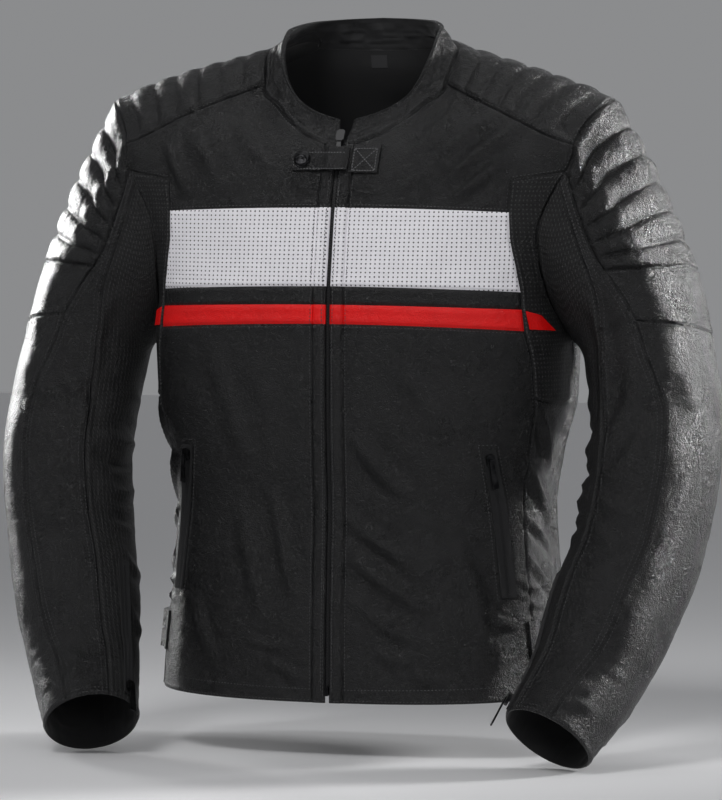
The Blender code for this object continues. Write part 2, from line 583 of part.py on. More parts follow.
def build_sleeve(skin, side, edges, yoke_ids):
    """Cap, middle, outer, front and inner pieces of one sleeve on one grid of rings."""
    tag = "_l" if side > 0 else "_r"
    mirror = np.array([side, 1, 1])
    rim = yoke_ids[:, -1]                              # from the front seam over the shoulder to the back
    ring = list(rim[:YOKE_ROWS + 1][::-1]) + list(edges["arm_upper"][1:]) + list(edges["arm_gusset"][1:])
    ring += list(edges["arm_back"][::-1][1:]) + list(rim[YOKE_ROWS + 1:][::-1][1:])
    ring_points = np.array([skin.points[k] for k in ring]) * mirror
    angles, form = make_sleeve_form(ring_points)
    front_seam = YOKE_ROWS + 2
    inner_seam = front_seam + 2
    back_seam = len(ring) - YOKE_ROWS - 2
    seam_at_start = (angles[front_seam], angles[inner_seam], angles[back_seam])

    def column_angles(w):
        table = [(w0, *(s if w0 > 0 else t for s, t in zip((f, i, b), seam_at_start)))
                 for w0, f, i, b in SLEEVE_SEAM_ROWS]
        f, i, b = smooth(table, [w])[0]
        even = np.concatenate([
            np.linspace(0, f, front_seam + 1), np.linspace(f, i, inner_seam - front_seam + 1)[1:],
            np.linspace(i, b, back_seam - inner_seam + 1)[1:],
            np.linspace(b, 360, len(ring) - back_seam + 1)[1:-1]])
        keep = max(0.0, 1 - w / 0.6)
        base = np.concatenate([
            rescale(angles[:front_seam + 1], 0, f), rescale(angles[front_seam:inner_seam + 1], f, i)[1:],
            rescale(angles[inner_seam:back_seam + 1], i, b)[1:],
            rescale(np.append(angles[back_seam:], 360), b, 360)[1:-1]])
        return keep * base + (1 - keep) * even

    def rescale(values, low, high):
        share = (values - values[0]) / (values[-1] - values[0])
        return low + (high - low) * share

    def row(w_top, w_side):
        """One ring of points; near the shoulder the outside of the sleeve runs ahead of its sides."""
        angle = column_angles(w_side)
        lead = np.clip(np.cos(np.radians(angle)), 0, 1)
        return form(angle, w_side + (w_top - w_side) * lead)

    def steps(start, end, count):
        return [tuple(np.array(start) + (np.array(end) - np.array(start)) * k / count)
                for k in range(1, count + 1)]

    cap_steps = steps((0.0, 0.0), CAP_END, RIBS * 3)
    outer_columns = list(range(back_seam, len(ring))) + list(range(0, front_seam + 1))
    middle_columns = list(range(front_seam, inner_seam + 1))
    inner_columns = list(range(inner_seam, back_seam + 1))
    fade = np.ones(len(outer_columns))
    fade[0] = fade[-1] = 0
    fade[1] = fade[-2] = 0.8

    def add_row(w_pair, columns, rises=None):
        pts = row(*w_pair)[columns] * mirror
        rises = np.zeros(len(columns)) if rises is None else rises
        return [skin.add(p, r) for p, r in zip(pts, rises)]

    start_row = np.array(ring)
    coarse = [start_row]
    for rib in range(RIBS):
        coarse.append(np.array(add_row(cap_steps[rib * 3 + 2], list(range(len(ring))))))
    cap = [start_row[outer_columns]]
    for rib in range(RIBS):
        for third in (1, 2):
            ids = add_row(cap_steps[rib * 3 + third - 1], outer_columns, fade * RIB_RISE)
            for end, column in ((0, back_seam), (-1, front_seam)):
                skin.hanging[ids[end]] = (coarse[rib][column], coarse[rib + 1][column], third / 3)
            cap.append(np.array(ids))
        cap.append(coarse[rib + 1][outer_columns])
    middle = [coarse[-1]] + [np.array(add_row(w, list(range(len(ring))))) for w in steps(CAP_END, MID_END, 2)]
    lower_start = MID_END
    lower = [middle[-1]]
    for k in range(1, SLEEVE_LOWER_ROWS + 1):
        share = k / SLEEVE_LOWER_ROWS
        end = SLEEVE_TURNS[1]
        w_top = lower_start[0] + (end - lower_start[0]) * share
        w_side = lower_start[1] + (end - lower_start[1]) * share
        lower.append(np.array(add_row((w_top, w_side), list(range(len(ring))))))
    coarse_all = np.array(coarse + middle[1:] + lower[1:])
    for name, grid in (("sleeve_cap", np.array(cap)),
                       ("sleeve_mid", np.array(middle)[:, outer_columns]),
                       ("sleeve_outer", np.array(lower)[:, outer_columns]),
                       ("sleeve_front", coarse_all[:, middle_columns]),
                       ("sleeve_inner", coarse_all[:, inner_columns])):
        # Angles grow from the outside to the front, which is against the order that faces need.
        skin.fill(name + tag, grid[:, ::-1], side < 0)
    return form, column_angles


def build_collar(skin, halves):
    """A stand collar on the neck seam, its top edge rolled and bound."""
    heights = np.array([0, 0.34, 0.68, 0.84, 0.92, 1.0])
    roll = np.array([0, 0.0, 0.0, 0.0, 1.5, 0.9])
    for side, (edges, yoke_ids) in halves.items():
        mirror = np.array([side, 1, 1])
        base = list(edges["neck_front"]) + list(yoke_ids[1:-1, 0]) + list(edges["neck_back"])
        low = np.array([skin.points[k] for k in base]) * mirror
        run = np.concatenate([[0], np.cumsum(np.linalg.norm(np.diff(low, axis=0), axis=1))])
        top = along(COLLAR_TOP, run / run[-1])
        grid = low[None] + (top - low)[None] * heights[:, None, None]
        away = low - np.array([0, 0, 0])
        away[:, 2] = 0
        away /= np.maximum(np.linalg.norm(away, axis=1, keepdims=True), 1e-9)
        grid += away[None] * (np.sin(np.pi * heights) * 1.0)[:, None, None]
        rise = np.repeat(roll[:, None], len(base), axis=1)
        rise[0] = [skin.rise[k] for k in base]
        ids = skin.grid(grid * mirror, rise)
        skin.fill("collar", ids[::-1], side < 0)


# ---------------------------------------------------------------- pieces that lie on the cloth

def cloth_tree(skin):
    """The outside of the cloth as a search tree, to lay pieces on it."""
    outer = skin.points + skin.normals * skin.rise[:, None]
    faces = [tri for group in skin.faces.values() for a, b, c, d in group for tri in ((a, b, c), (a, c, d))]
    return BVHTree.FromPolygons([Vector(p) for p in outer], faces)


def lay(tree, point, lift):
    """The place on the cloth nearest to a point, raised by lift, and the direction away from it."""
    spot, normal, _, _ = tree.find_nearest(Vector(point))
    return np.array(spot) + np.array(normal) * lift, np.array(normal)


def slab(grid, normals, thickness):
    """A closed plate: a grid of points for its underside and the same grid moved out by thickness."""
    rows, columns = grid.shape[:2]
    thick = np.broadcast_to(np.asarray(thickness, float), (rows, columns))[..., None]
    under = grid.reshape(-1, 3)
    over = (grid + normals * thick).reshape(-1, 3)
    count = rows * columns
    faces = []
    for i in range(rows - 1):
        for j in range(columns - 1):
            a, b = i * columns + j, (i + 1) * columns + j
            faces += [(a, b + 1, b), (a, a + 1, b + 1)]
            faces += [(a + count, b + count, b + 1 + count), (a + count, b + 1 + count, a + 1 + count)]
    border = ([(i * columns, (i + 1) * columns) for i in range(rows - 1)]
              + [((rows - 1) * columns + j, (rows - 1) * columns + j + 1) for j in range(columns - 1)]
              + [((i + 1) * columns - 1 + columns, (i + 1) * columns - 1) for i in range(rows - 1)]
              + [(j + 1, j) for j in range(columns - 1)])
    for a, b in border:
        faces += [(a, b, b + count), (a, b + count, a + count)]
    return np.vstack([under, over]), faces


def outward_faces(points, faces):
    """The same faces, turned if the body they close is inside out."""
    points = np.asarray(points)
    volume = sum(float(np.dot(points[a], np.cross(points[b], points[c]))) for a, b, c in faces)
    return faces if volume > 0 else [face[::-1] for face in faces]


def plate(name, tree, points, thickness, material, lift=LAID_GAP):
    """A thin piece laid on the cloth: points is a grid near the cloth."""
    points = np.asarray(points, float)
    grid, normals = np.zeros_like(points), np.zeros_like(points)
    lifts = np.broadcast_to(np.asarray(lift, float), points.shape[:2])
    for i in range(points.shape[0]):
        for j in range(points.shape[1]):
            grid[i, j], normals[i, j] = lay(tree, points[i, j], lifts[i, j])
    mean = normals.mean(axis=(0, 1))
    normals = normals * 0.3 + mean * 0.7
    normals /= np.linalg.norm(normals, axis=2, keepdims=True)
    verts, faces = slab(grid, normals, thickness)
    return mesh_object(name, verts, outward_faces(verts, faces), material)


def block(name, centre, axes, size, material, chamfer=0.22):
    """A box with cut corners: axes are three unit vectors and size its full lengths."""
    half = np.array(size) / 2
    inset = min(half[:2]) * chamfer * 2
    ring = [(half[0] - inset, half[1]), (half[0], half[1] - inset), (half[0], -half[1] + inset),
            (half[0] - inset, -half[1]), (-half[0] + inset, -half[1]), (-half[0], -half[1] + inset),
            (-half[0], half[1] - inset), (-half[0] + inset, half[1])]
    points = [(a, b, level) for level in (-half[2], half[2]) for a, b in ring]
    verts = np.array([centre + sum(c * axis for c, axis in zip(p, axes)) for p in points])
    faces = [(0, k + 1, k) for k in range(1, 7)] + [(8, 8 + k, 8 + k + 1) for k in range(1, 7)]
    for k in range(8):
        n = (k + 1) % 8
        faces += [(k, n, n + 8), (k, n + 8, k + 8)]
    return mesh_object(name, verts, outward_faces(verts, faces), material)


def pull_tab(name, pivot, down, out, size, material):
    """A zip's pull: a flat tab with a round end on its hinge, whose axis is across down and out."""
    length, width, thick = size
    across = np.cross(down, out)
    outline = [(math.cos(t) * -thick / 2, math.sin(t) * thick / 2)
               for t in np.radians([90, 45, 0, -45, -90])]
    outline += [(length, -thick / 2), (length, thick / 2)]
    neck, full = width * 0.6, width
    verts = []
    for sign in (-1, 1):
        for along_tab, lift in outline:
            half = (neck if along_tab < length * 0.3 else full) / 2
            verts.append(pivot + down * along_tab + out * lift + across * sign * half)
    n = len(outline)
    faces = [(0, k, k + 1) for k in range(1, n - 1)] + [(n, n + k + 1, n + k) for k in range(1, n - 1)]
    for k in range(n):
        m = (k + 1) % n
        faces += [(k, k + n, m + n), (k, m + n, m)]
    verts = np.array(verts)
    centre = pivot * MM
    made = mesh_object(name, verts - pivot, outward_faces(verts - pivot, faces), material)
    made.location = centre
    return made


def build_details(skin, form, paint):
    tree = cloth_tree(skin)
    metal, tape, black = paint["metal_dark"], paint["zip_tape"], paint["leather_black"]

    # Main zip: a tape behind the two folded edges, from the neck to the hem.
    z_rows = np.concatenate([[-56.0], np.linspace(-72, -205, 8), np.linspace(-219, -562, 14)])
    grid = []
    for z in z_rows:
        centre = body([on_x(0.0, z)[0]], [z])[0]
        grid.append([centre + np.array([x, WALL + 1.0, 0]) for x in (-11.0, -2.5, 2.5, 11.0)])
    grid = np.array(grid)
    normals = np.zeros_like(grid)
    normals[..., 1] = 1.0
    verts, faces = slab(grid, normals, 1.3)
    mesh_object("main_zip", verts, outward_faces(verts, faces), tape)

    front = np.array([0.0, -1.0, 0.0])
    across = np.array([1.0, 0.0, 0.0])
    spot = body([on_x(0.0, -47.0)[0]], [-47.0])[0]
    slope = unit(body([0.0], [-58.0])[0] - body([0.0], [-44.0])[0])
    out = unit(np.cross(slope, across))
    if out[1] > 0:
        out = -out
    slider_centre = spot + out * (PLACKET_RISE + LAID_GAP + 1.6) - slope * 2.0
    block("main_slider", slider_centre, (across, slope, out), (8.0, 12.0, 3.0), metal)
    pivot = slider_centre + slope * 7.4 + out * 0.5
    hang = unit(body([0.0], [-76.0])[0] - body([0.0], [-60.0])[0])
    hang_out = unit(np.cross(hang, across))
    if hang_out[1] > 0:
        hang_out = -hang_out
    pull_tab("main_pull", pivot, hang, hang_out, (15.0, 6.5, 1.4), metal)

    stop = body([0.0], [-560.0])[0] + np.array([0, 0.4, 0])
    block("zip_stop", stop, (across, np.array([0, 0, -1.0]), front), (3.2, 9.0, 3.0), metal)

    # Neck strap over the zip's top, its stitched end and its snap.
    def laid_row(z, xs):
        return [body([on_x(abs(x), z)[0]], [z])[0] * np.array([-1 if x < 0 else 1, 1, 1]) for x in xs]

    over_pull = PLACKET_RISE + LAID_GAP + 3.6
    strap_xs = [-45.0, -42.0, -31.0, -20.0, -13.2, -7.0, 0.0, 7.0, 12.0]
    strap_lift = [0.5, 0.5, 0.5, 0.6, 0.7, over_pull - 1.2, over_pull - 1.2, over_pull - 1.2, 1.0]
    strap = []
    for k, share in enumerate((0.0, 0.5, 1.0)):
        row = laid_row(-56.5 - 20.0 * share, strap_xs)
        if k != 1:
            row[0] = laid_row(-56.5 - 20.0 * (0.22 + 0.56 * share), [strap_xs[0]])[0]
        strap.append(row)
    plate("neck_strap", tree, strap, 2.2, black, lift=[strap_lift] * 3)
    box_xs = [13.6, 22.0, 32.0, 41.0]
    plate("strap_box", tree, [laid_row(z, box_xs) for z in (-52.5, -65.5, -78.5)], 2.0, black,
          lift=[[1.0, 0.5, 0.5, 0.5]] * 3)
    snap, facing = lay(tree, laid_row(-66.5, [-34.0])[0], 0.5 + 2.2 + LAID_GAP)
    sideways = unit(np.cross(facing, (0, 0, 1.0)))
    upward = np.cross(sideways, facing)
    verts, rings = [], [(8.0, 0.0), (8.2, 1.0), (6.6, 2.2), (3.0, 2.8)]
    for radius, lift in rings:
        for t in np.linspace(0, 2 * math.pi, 16, endpoint=False):
            verts.append(snap + facing * lift + sideways * radius * math.cos(t) + upward * radius * math.sin(t))
    faces = [(0, k, k + 1) for k in range(1, 15)] + [(48, 48 + k + 1, 48 + k) for k in range(1, 15)]
    for level in range(len(rings) - 1):
        for k in range(16):
            a, b = level * 16 + k, level * 16 + (k + 1) % 16
            faces += [(a, a + 16, b + 16), (a, b + 16, b)]
    verts = np.array(verts)
    mesh_object("snap_cap", verts, outward_faces(verts, faces), metal)

    # Bare label inside the back neck.
    label = []
    for z in (33.0, 21.0):
        row = []
        for x in (-14.0, -6.0, 2.0):
            p = body([on_x(abs(x), z, behind=True)[0]], [z])[0] * np.array([-1 if x < 0 else 1, 1, 1])
            row.append(p + np.array([0, -WALL + 0.1, 0]))
        label.append(row)
    label = np.array(label)
    normals = np.zeros_like(label)
    normals[..., 1] = -1.0
    verts, faces = slab(label, normals, 0.8)
    mesh_object("neck_label", verts, outward_faces(verts, faces), paint["fabric_label"])

    for side in (1, -1):
        tag = "_l" if side > 0 else "_r"
        mirror = np.array([side, 1, 1])

        # The stripe's pointed end on the perforated panel.
        tip = []
        for share in np.linspace(0, 1, 10):
            row = []
            for (x0, z0), (y1, z1) in (((177.0, -205.5), (62.0, -210.0)), ((180.5, -222.5), (44.0, -224.5))):
                start = (float(on_x(x0, z0)[0]) + 0.012, z0)
                end = (float(on_y(y1, z1)[0]), z1)
                pz = (1 - share) * np.array(start) + share * np.array(end)
                row.append(body([pz[0]], [pz[1]])[0] * mirror)
            tip.append(row)
        plate("stripe_tip" + tag, tree, tip, 1.2, paint["leather_red"], lift=0.7)

        # Slanted pocket zip: a strip with two lips and a groove between them.
        strip = []
        centre_line = []
        for share in np.linspace(0, 1, 9):
            z = -334.0 - 138.0 * share
            x = 147.5 + 15.5 * share
            centre_line.append((x, z))
            strip.append([body([on_x(x + dx, z)[0]], [z])[0] * mirror for dx in (-5.5, -1.6, 1.6, 5.5)])
        plate("pocket_zip" + tag, tree, strip, [[1.9, 0.9, 0.9, 1.9]] * 9, tape, lift=0.75)
        x, z = centre_line[0]
        top, facing = lay(tree, body([on_x(x + 0.5, z - 9)[0]], [z - 9])[0] * mirror, LAID_GAP)
        low, _ = lay(tree, body([on_x(x + 3.5, z - 40)[0]], [z - 40])[0] * mirror, LAID_GAP)
        down = unit(low - top)
        facing = unit(facing - down * np.dot(facing, down))
        cross = np.cross(down, facing)
        slider = top + facing * (2.1 + LAID_GAP + 1.5)
        block("pocket_slider" + tag, slider, (cross, down, facing), (8.0, 11.0, 3.0), metal)
        pivot = slider + facing * (1.5 + 0.35 + 0.8)
        pull_tab("pocket_pull" + tag, pivot, down, facing, (27.0, 6.5, 1.6), metal)

        # Cuff zip along the body side of the forearm, its slider at the cuff.
        strip = []
        for w in np.linspace(4.15, 5.93, 17):
            across_half = math.degrees(5.5 / 50.0)
            inner_half = across_half * 0.3
            strip.append(form([CUFF_ZIP_AT - across_half, CUFF_ZIP_AT - inner_half, CUFF_ZIP_AT + inner_half,
                               CUFF_ZIP_AT + across_half], np.full(4, w)) * mirror)
        plate("cuff_zip" + tag, tree, strip, [[1.9, 0.9, 0.9, 1.9]] * 17, tape)
        top, facing = lay(tree, form([CUFF_ZIP_AT], [5.86])[0] * mirror, LAID_GAP)
        low, _ = lay(tree, form([CUFF_ZIP_AT], [6.0])[0] * mirror, LAID_GAP)
        down = unit(low - top)
        facing = unit(facing - down * np.dot(facing, down))
        cross = np.cross(down, facing)
        slider = top + facing * (2.1 + LAID_GAP + 1.5)
        block("cuff_slider" + tag, slider, (cross, down, facing), (8.0, 11.0, 3.0), metal)
        pivot = slider + facing * (1.5 + 0.35 + 0.8)
        pull_tab("cuff_pull" + tag, pivot, down, facing, (30.0, 7.5, 1.6), metal)

        # Doubled adjuster tab at the side above the hem: two raised loops, one above the other.
        tab, thick = [], []
        tab_heights = [-495.0, -496.0, -512.0, -513.5, -515.0, -531.0, -532.0]
        tab_rise = [2.0, 6.0, 6.0, 2.0, 6.0, 6.0, 2.0]
        for z, rise in zip(tab_heights, tab_rise):
            row, lifts = [], []
            for k, y in enumerate(np.linspace(-62.0, 28.0, 14)):
                behind = y > 0
                point = body([on_y(abs(y), z, behind=behind)[0]], [z])[0] * mirror
                row.append(point)
                lifts.append(rise if 2 < k < 13 else 2.0)
            tab.append(row)
            thick.append(lifts)
        plate("waist_tab" + tag, tree, tab, thick, black, lift=0.7)


# ---------------------------------------------------------------- everything

PIECE_MATERIAL = {
    "armhole_mesh": "leather_perforated", "sleeve_inner": "leather_perforated",
    "white_band": "leather_white", "red_stripe": "leather_red",
}


def make_materials():
    made = {}
    for name, (colour, roughness, metallic) in MATERIALS.items():
        material = bpy.data.materials.new(name)
        material.use_nodes = True
        shader = material.node_tree.nodes["Principled BSDF"]
        shader.inputs["Base Color"].default_value = (*colour, 1.0)
        shader.inputs["Roughness"].default_value = roughness
        shader.inputs["Metallic"].default_value = metallic
        made[name] = material
    return made


def main():
    for old in list(bpy.data.objects):
        bpy.data.objects.remove(old, do_unlink=True)
    paint = make_materials()
    skin = Skin()
    halves = {}
    form = None
    for side in (1, -1):
        edges = build_body(skin, side)
        yoke_ids = build_yoke(skin, side, edges)
        form, _ = build_sleeve(skin, side, edges, yoke_ids)
        halves[side] = (edges, yoke_ids)
    build_collar(skin, halves)
    skin.finish()
    for name in skin.faces:
        points, faces = skin.wall(name)
        base = name.rsplit("_", 1)[0] if name.endswith(("_l", "_r")) else name
        material = paint[PIECE_MATERIAL.get(base, "leather_black")]
        mesh_object(name, points, outward_faces(points, faces), material)
    build_details(skin, form, paint)


main()
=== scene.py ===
"""Looks of the leather motorcycle jacket: fine cloth shells, their folds, seams, zips and finishes.

The shells repeat the part's surfaces with a fine grid. Sizes are in millimetres and become metres when a
mesh is made. +Z is up, the front faces -Y, and +X is the wearer's left.
"""
import json
import math

import bpy
import numpy as np
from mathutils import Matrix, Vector
from mathutils.bvhtree import BVHTree
from mathutils.kdtree import KDTree

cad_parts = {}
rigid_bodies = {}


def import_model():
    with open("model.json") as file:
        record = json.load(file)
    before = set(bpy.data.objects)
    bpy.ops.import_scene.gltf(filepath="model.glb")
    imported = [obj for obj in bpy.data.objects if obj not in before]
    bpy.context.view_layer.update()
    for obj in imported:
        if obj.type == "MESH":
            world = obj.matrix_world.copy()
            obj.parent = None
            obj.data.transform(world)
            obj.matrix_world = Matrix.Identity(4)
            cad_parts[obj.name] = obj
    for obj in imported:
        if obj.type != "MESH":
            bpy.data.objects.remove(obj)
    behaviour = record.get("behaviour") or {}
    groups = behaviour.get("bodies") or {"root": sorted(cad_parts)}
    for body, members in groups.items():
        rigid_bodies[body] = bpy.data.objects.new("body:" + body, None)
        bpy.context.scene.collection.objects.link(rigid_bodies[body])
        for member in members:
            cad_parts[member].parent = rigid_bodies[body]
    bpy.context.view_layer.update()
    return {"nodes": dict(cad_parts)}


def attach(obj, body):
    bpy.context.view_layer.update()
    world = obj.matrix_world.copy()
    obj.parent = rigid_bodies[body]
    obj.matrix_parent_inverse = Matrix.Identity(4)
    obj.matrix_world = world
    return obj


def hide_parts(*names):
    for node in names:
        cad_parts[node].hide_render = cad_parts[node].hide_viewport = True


MM = 0.001
SIDES = ((1, "_l"), (-1, "_r"))      # the wearer's left and right
WALL = 2.2            # thickness of the leather and its backing
SEAM_GAP = 0.08       # gap between two shells at a seam, too fine to let light through
SLIT_HALF = 2.0       # half of the slit between the two front edges
PLACKET = 13.0        # width of the folded front edge
RIBS = 6              # padded ribs on each yoke and each sleeve cap
MITRE_LIMIT = 1.5     # most that a wall lengthens where two pieces meet at an angle
SAME_PLACE = 0.12     # points of two pieces this near each other lie on a shared seam
ON_MIDDLE = 0.02      # points this near the middle plane are put on it, so that the two halves join
SHARP_TURN = 0.8      # cosine of the turn of a border at which a row of stitches ends

# ---------------------------------------------------------------- listed folds

# Each fold: its line, its height (negative is a crease) and its half width. A line's points are (x, z) on
# the front and the back, (distance behind the side line, z) on the sides, and (angle, way along) on the
# sleeves. x is positive on the wearer's left.
FRONT_FOLDS = [
    ([(149, -24), (122, -44), (90, -65)], 3.2, 6.0), ([(174, -33), (138, -59), (104, -88)], 3.8, 6.5),
    ([(168, -58), (143, -81), (112, -103)], 3.4, 6.0), ([(119, -12), (94, -34), (70, -60)], 2.2, 6.0),
    ([(96, -72), (78, -84), (58, -98)], 1.8, 5.0), ([(-173, -46), (-158, -76), (-143, -102)], 3.6, 7.0),
    ([(-150, -40), (-128, -66), (-112, -96)], 2.2, 7.0), ([(-110, -24), (-88, -52), (-66, -74)], 2.0, 7.0),
    ([(-44, -84), (-28, -89), (-16, -84)], 2.0, 3.0), ([(-42, -97), (-27, -94), (-13, -99)], 1.6, 3.0),
    ([(48, -92), (34, -96), (18, -92)], 1.4, 3.0), ([(24, -318), (50, -353), (80, -381)], 3.4, 9.0),
    ([(14, -395), (48, -420), (81, -440)], 3.0, 7.5), ([(15, -428), (59, -460), (101, -486)], 3.4, 8.5),
    ([(22, -470), (52, -496), (88, -512)], 2.2, 7.0), ([(44, -520), (66, -529), (84, -527)], 2.0, 6.0),
    ([(80, -536), (100, -549), (118, -548)], 2.2, 6.0), ([(118, -420), (138, -466), (146, -520)], 2.0, 8.0),
    ([(60, -250), (92, -285), (112, -330)], 1.8, 11.0), ([(-57, -368), (-45, -425), (-30, -482)], 2.8, 8.0),
    ([(-92, -384), (-79, -440), (-65, -496)], 2.2, 9.0), ([(-64, -533), (-42, -541), (-22, -553)], 2.0, 5.0),
    ([(-84, -512), (-60, -519), (-36, -515)], 1.6, 5.0),
    ([(-120, -250), (-96, -300), (-84, -352)], 1.8, 11.0),
    ([(-140, -470), (-128, -512), (-110, -540)], 2.0, 7.0),
    ([(151, -483), (161, -497), (175, -500)], 2.6, 4.0),
    ([(158, -450), (166, -456), (176, -458)], 2.2, 3.5), ([(158, -466), (167, -471), (178, -472)], 2.2, 3.5),
    ([(-158, -458), (-166, -463), (-177, -464)], 2.0, 3.5),
    ([(-156, -476), (-165, -482), (-177, -482)], 2.0, 3.5),
]
SIDE_FOLDS = [
    ([(-60, -294), (-40, -323), (-14, -356)], 4.0, 6.0), ([(-66, -342), (-32, -379), (0, -416)], 4.4, 6.5),
    ([(-58, -395), (-35, -412), (-10, -431)], 3.2, 5.0), ([(-54, -436), (-36, -453), (-14, -472)], 3.0, 5.0),
    ([(-60, -462), (-50, -466), (-38, -465)], 2.2, 3.5), ([(-58, -478), (-48, -482), (-36, -481)], 2.2, 3.5),
    ([(10, -300), (0, -340), (-8, -372)], 2.4, 6.0), ([(22, -380), (8, -410), (2, -450)], 2.4, 6.0),
    ([(-20, -500), (0, -512), (20, -508)], 1.6, 5.0),
]
BACK_FOLDS = [
    ([(150, -300), (95, -326), (30, -330)], 3.4, 9.0), ([(-140, -312), (-88, -338), (-20, -352)], 3.4, 9.0),
    ([(120, -362), (62, -376), (0, -372)], 2.8, 8.0), ([(-128, -384), (-70, -402), (-12, -404)], 2.8, 8.0),
    ([(176, -240), (140, -272), (104, -318)], 3.2, 9.0),
    ([(-176, -240), (-142, -276), (-110, -326)], 3.2, 9.0),
    ([(150, -80), (120, -122), (104, -172)], 2.8, 10.0),
    ([(-150, -80), (-118, -126), (-100, -180)], 2.8, 10.0),
    ([(60, 6), (26, -10), (-20, -12)], 1.8, 7.0), ([(90, -430), (44, -452), (-16, -448)], 2.4, 9.0),
    ([(-92, -470), (-50, -486), (6, -494)], 2.2, 9.0), ([(130, -500), (96, -522), (60, -532)], 2.2, 7.0),
    ([(-150, -496), (-118, -522), (-80, -536)], 2.2, 7.0), ([(20, -200), (4, -240), (8, -290)], 1.8, 12.0),
]
RIGHT_SLEEVE_FOLDS = [
    ([(112, 0.55), (118, 0.9), (124, 1.32)], 2.6, 6.0), ([(98, 1.5), (122, 2.2), (122, 2.75)], 3.6, 6.0),
    ([(104, 2.84), (112, 3.05), (126, 3.15)], -3.0, 4.0), ([(100, 5.52), (90, 5.7), (80, 5.84)], 3.4, 5.0),
    ([(72, 5.3), (84, 5.5), (96, 5.56)], 2.2, 4.0), ([(74, 1.4), (86, 1.9), (98, 2.3)], 2.8, 7.0),
    ([(82, 3.2), (98, 3.5), (116, 3.55)], 2.6, 6.0), ([(76, 4.2), (92, 4.5), (112, 4.6)], 1.8, 6.0),
]
LEFT_SLEEVE_FOLDS = [
    ([(112, 0.5), (122, 1.36), (132, 2.9)], 4.0, 7.0), ([(88, 1.2), (110, 2.38), (128, 3.0)], 4.4, 7.5),
    ([(78, 2.4), (100, 2.82), (126, 3.08)], 4.2, 7.0), ([(74, 3.3), (98, 3.24), (126, 3.14)], 3.4, 6.5),
    ([(76, 3.9), (98, 3.66), (124, 3.34)], 2.6, 6.0), ([(96, 5.76), (60, 5.74), (26, 5.68)], 2.0, 4.0),
    ([(110, 5.3), (90, 5.5), (70, 5.52)], 1.6, 4.0), ([(44, 1.4), (38, 2.0), (30, 2.7)], 1.8, 10.0),
]
SLEEVE_FOLDS = [               # the same on both sleeves, most of them out of sight
    ([(134, 2.86), (160, 2.95), (196, 2.9)], -4.5, 5.0), ([(134, 3.1), (165, 3.2), (205, 3.12)], 3.2, 5.0),
    ([(136, 2.6), (166, 2.64), (204, 2.56)], 3.2, 5.5), ([(138, 3.4), (170, 3.46), (200, 3.4)], -2.6, 4.5),
    ([(140, 2.3), (172, 2.26), (206, 2.3)], -2.4, 5.0), ([(142, 1.7), (176, 1.6), (206, 1.74)], 2.4, 7.0),
    ([(-14, 2.5), (-40, 2.62), (-70, 2.6)], -1.8, 5.0), ([(-10, 2.9), (-38, 3.0), (-74, 2.94)], -2.0, 5.0),
    ([(-12, 3.3), (-40, 3.36), (-70, 3.34)], -1.8, 5.0), ([(-30, 3.8), (-52, 4.1), (-60, 4.5)], 2.0, 8.0),
    ([(150, 4.0), (182, 4.2), (210, 4.1)], 2.2, 6.0), ([(160, 4.8), (190, 4.92), (216, 4.86)], 2.0, 6.0),
    ([(-20, 5.3), (-46, 5.42), (-72, 5.36)], 2.0, 5.0), ([(-24, 5.6), (-50, 5.68), (-80, 5.62)], 1.8, 4.5),
    ([(210, 1.3), (224, 1.9), (236, 2.5)], 2.4, 8.0), ([(-60, 1.2), (-72, 1.8), (-80, 2.4)], 2.4, 8.0),
]
# What the heights and the half widths of the tables are multiplied by.
FRONT_STRENGTH = (1.35, 0.85)
SIDE_STRENGTH = (1.4, 0.8)
BACK_STRENGTH = (0.8, 1.0)
SLEEVE_STRENGTH = (1.0, 1.0)

# ---------------------------------------------------------------- the part's driving tables

# A row for each level of the body: its height, half width, depths to the front and the back, how square
# the section is, and how far the front bulges near the shoulder joint.
BODY = [
    (44.0, 96.0, 8.0, 51.0, 2.2, 6.0),
    (38.0, 108.0, 13.0, 53.0, 2.2, 10.0),
    (20.0, 165.0, 24.0, 57.0, 2.6, 15.0),
    (6.0, 212.0, 32.0, 64.0, 3.0, 16.0),
    (-8.0, 255.0, 45.0, 73.0, 3.4, 14.0),
    (-24.0, 257.0, 60.0, 83.0, 3.5, 12.0),
    (-40.0, 255.0, 74.0, 92.0, 3.5, 9.0),
    (-60.0, 249.0, 87.0, 101.0, 3.5, 6.0),
    (-85.0, 236.0, 97.0, 109.0, 3.5, 3.0),
    (-113.0, 219.0, 105.0, 115.0, 3.4, 0.0),
    (-150.0, 202.0, 112.0, 120.0, 3.3, 0.0),
    (-190.0, 196.0, 118.0, 122.0, 3.2, 0.0),
    (-235.0, 202.0, 120.0, 121.0, 2.9, 0.0),
    (-286.0, 201.0, 120.0, 117.0, 2.7, 0.0),
    (-340.0, 188.0, 118.0, 106.0, 2.7, 0.0),
    (-392.0, 181.0, 115.0, 98.0, 2.7, 0.0),
    (-446.0, 184.0, 118.0, 101.0, 2.7, 0.0),
    (-520.0, 192.0, 121.0, 108.0, 2.7, 0.0),
    (-580.0, 197.0, 122.0, 111.0, 2.7, 0.0),
]
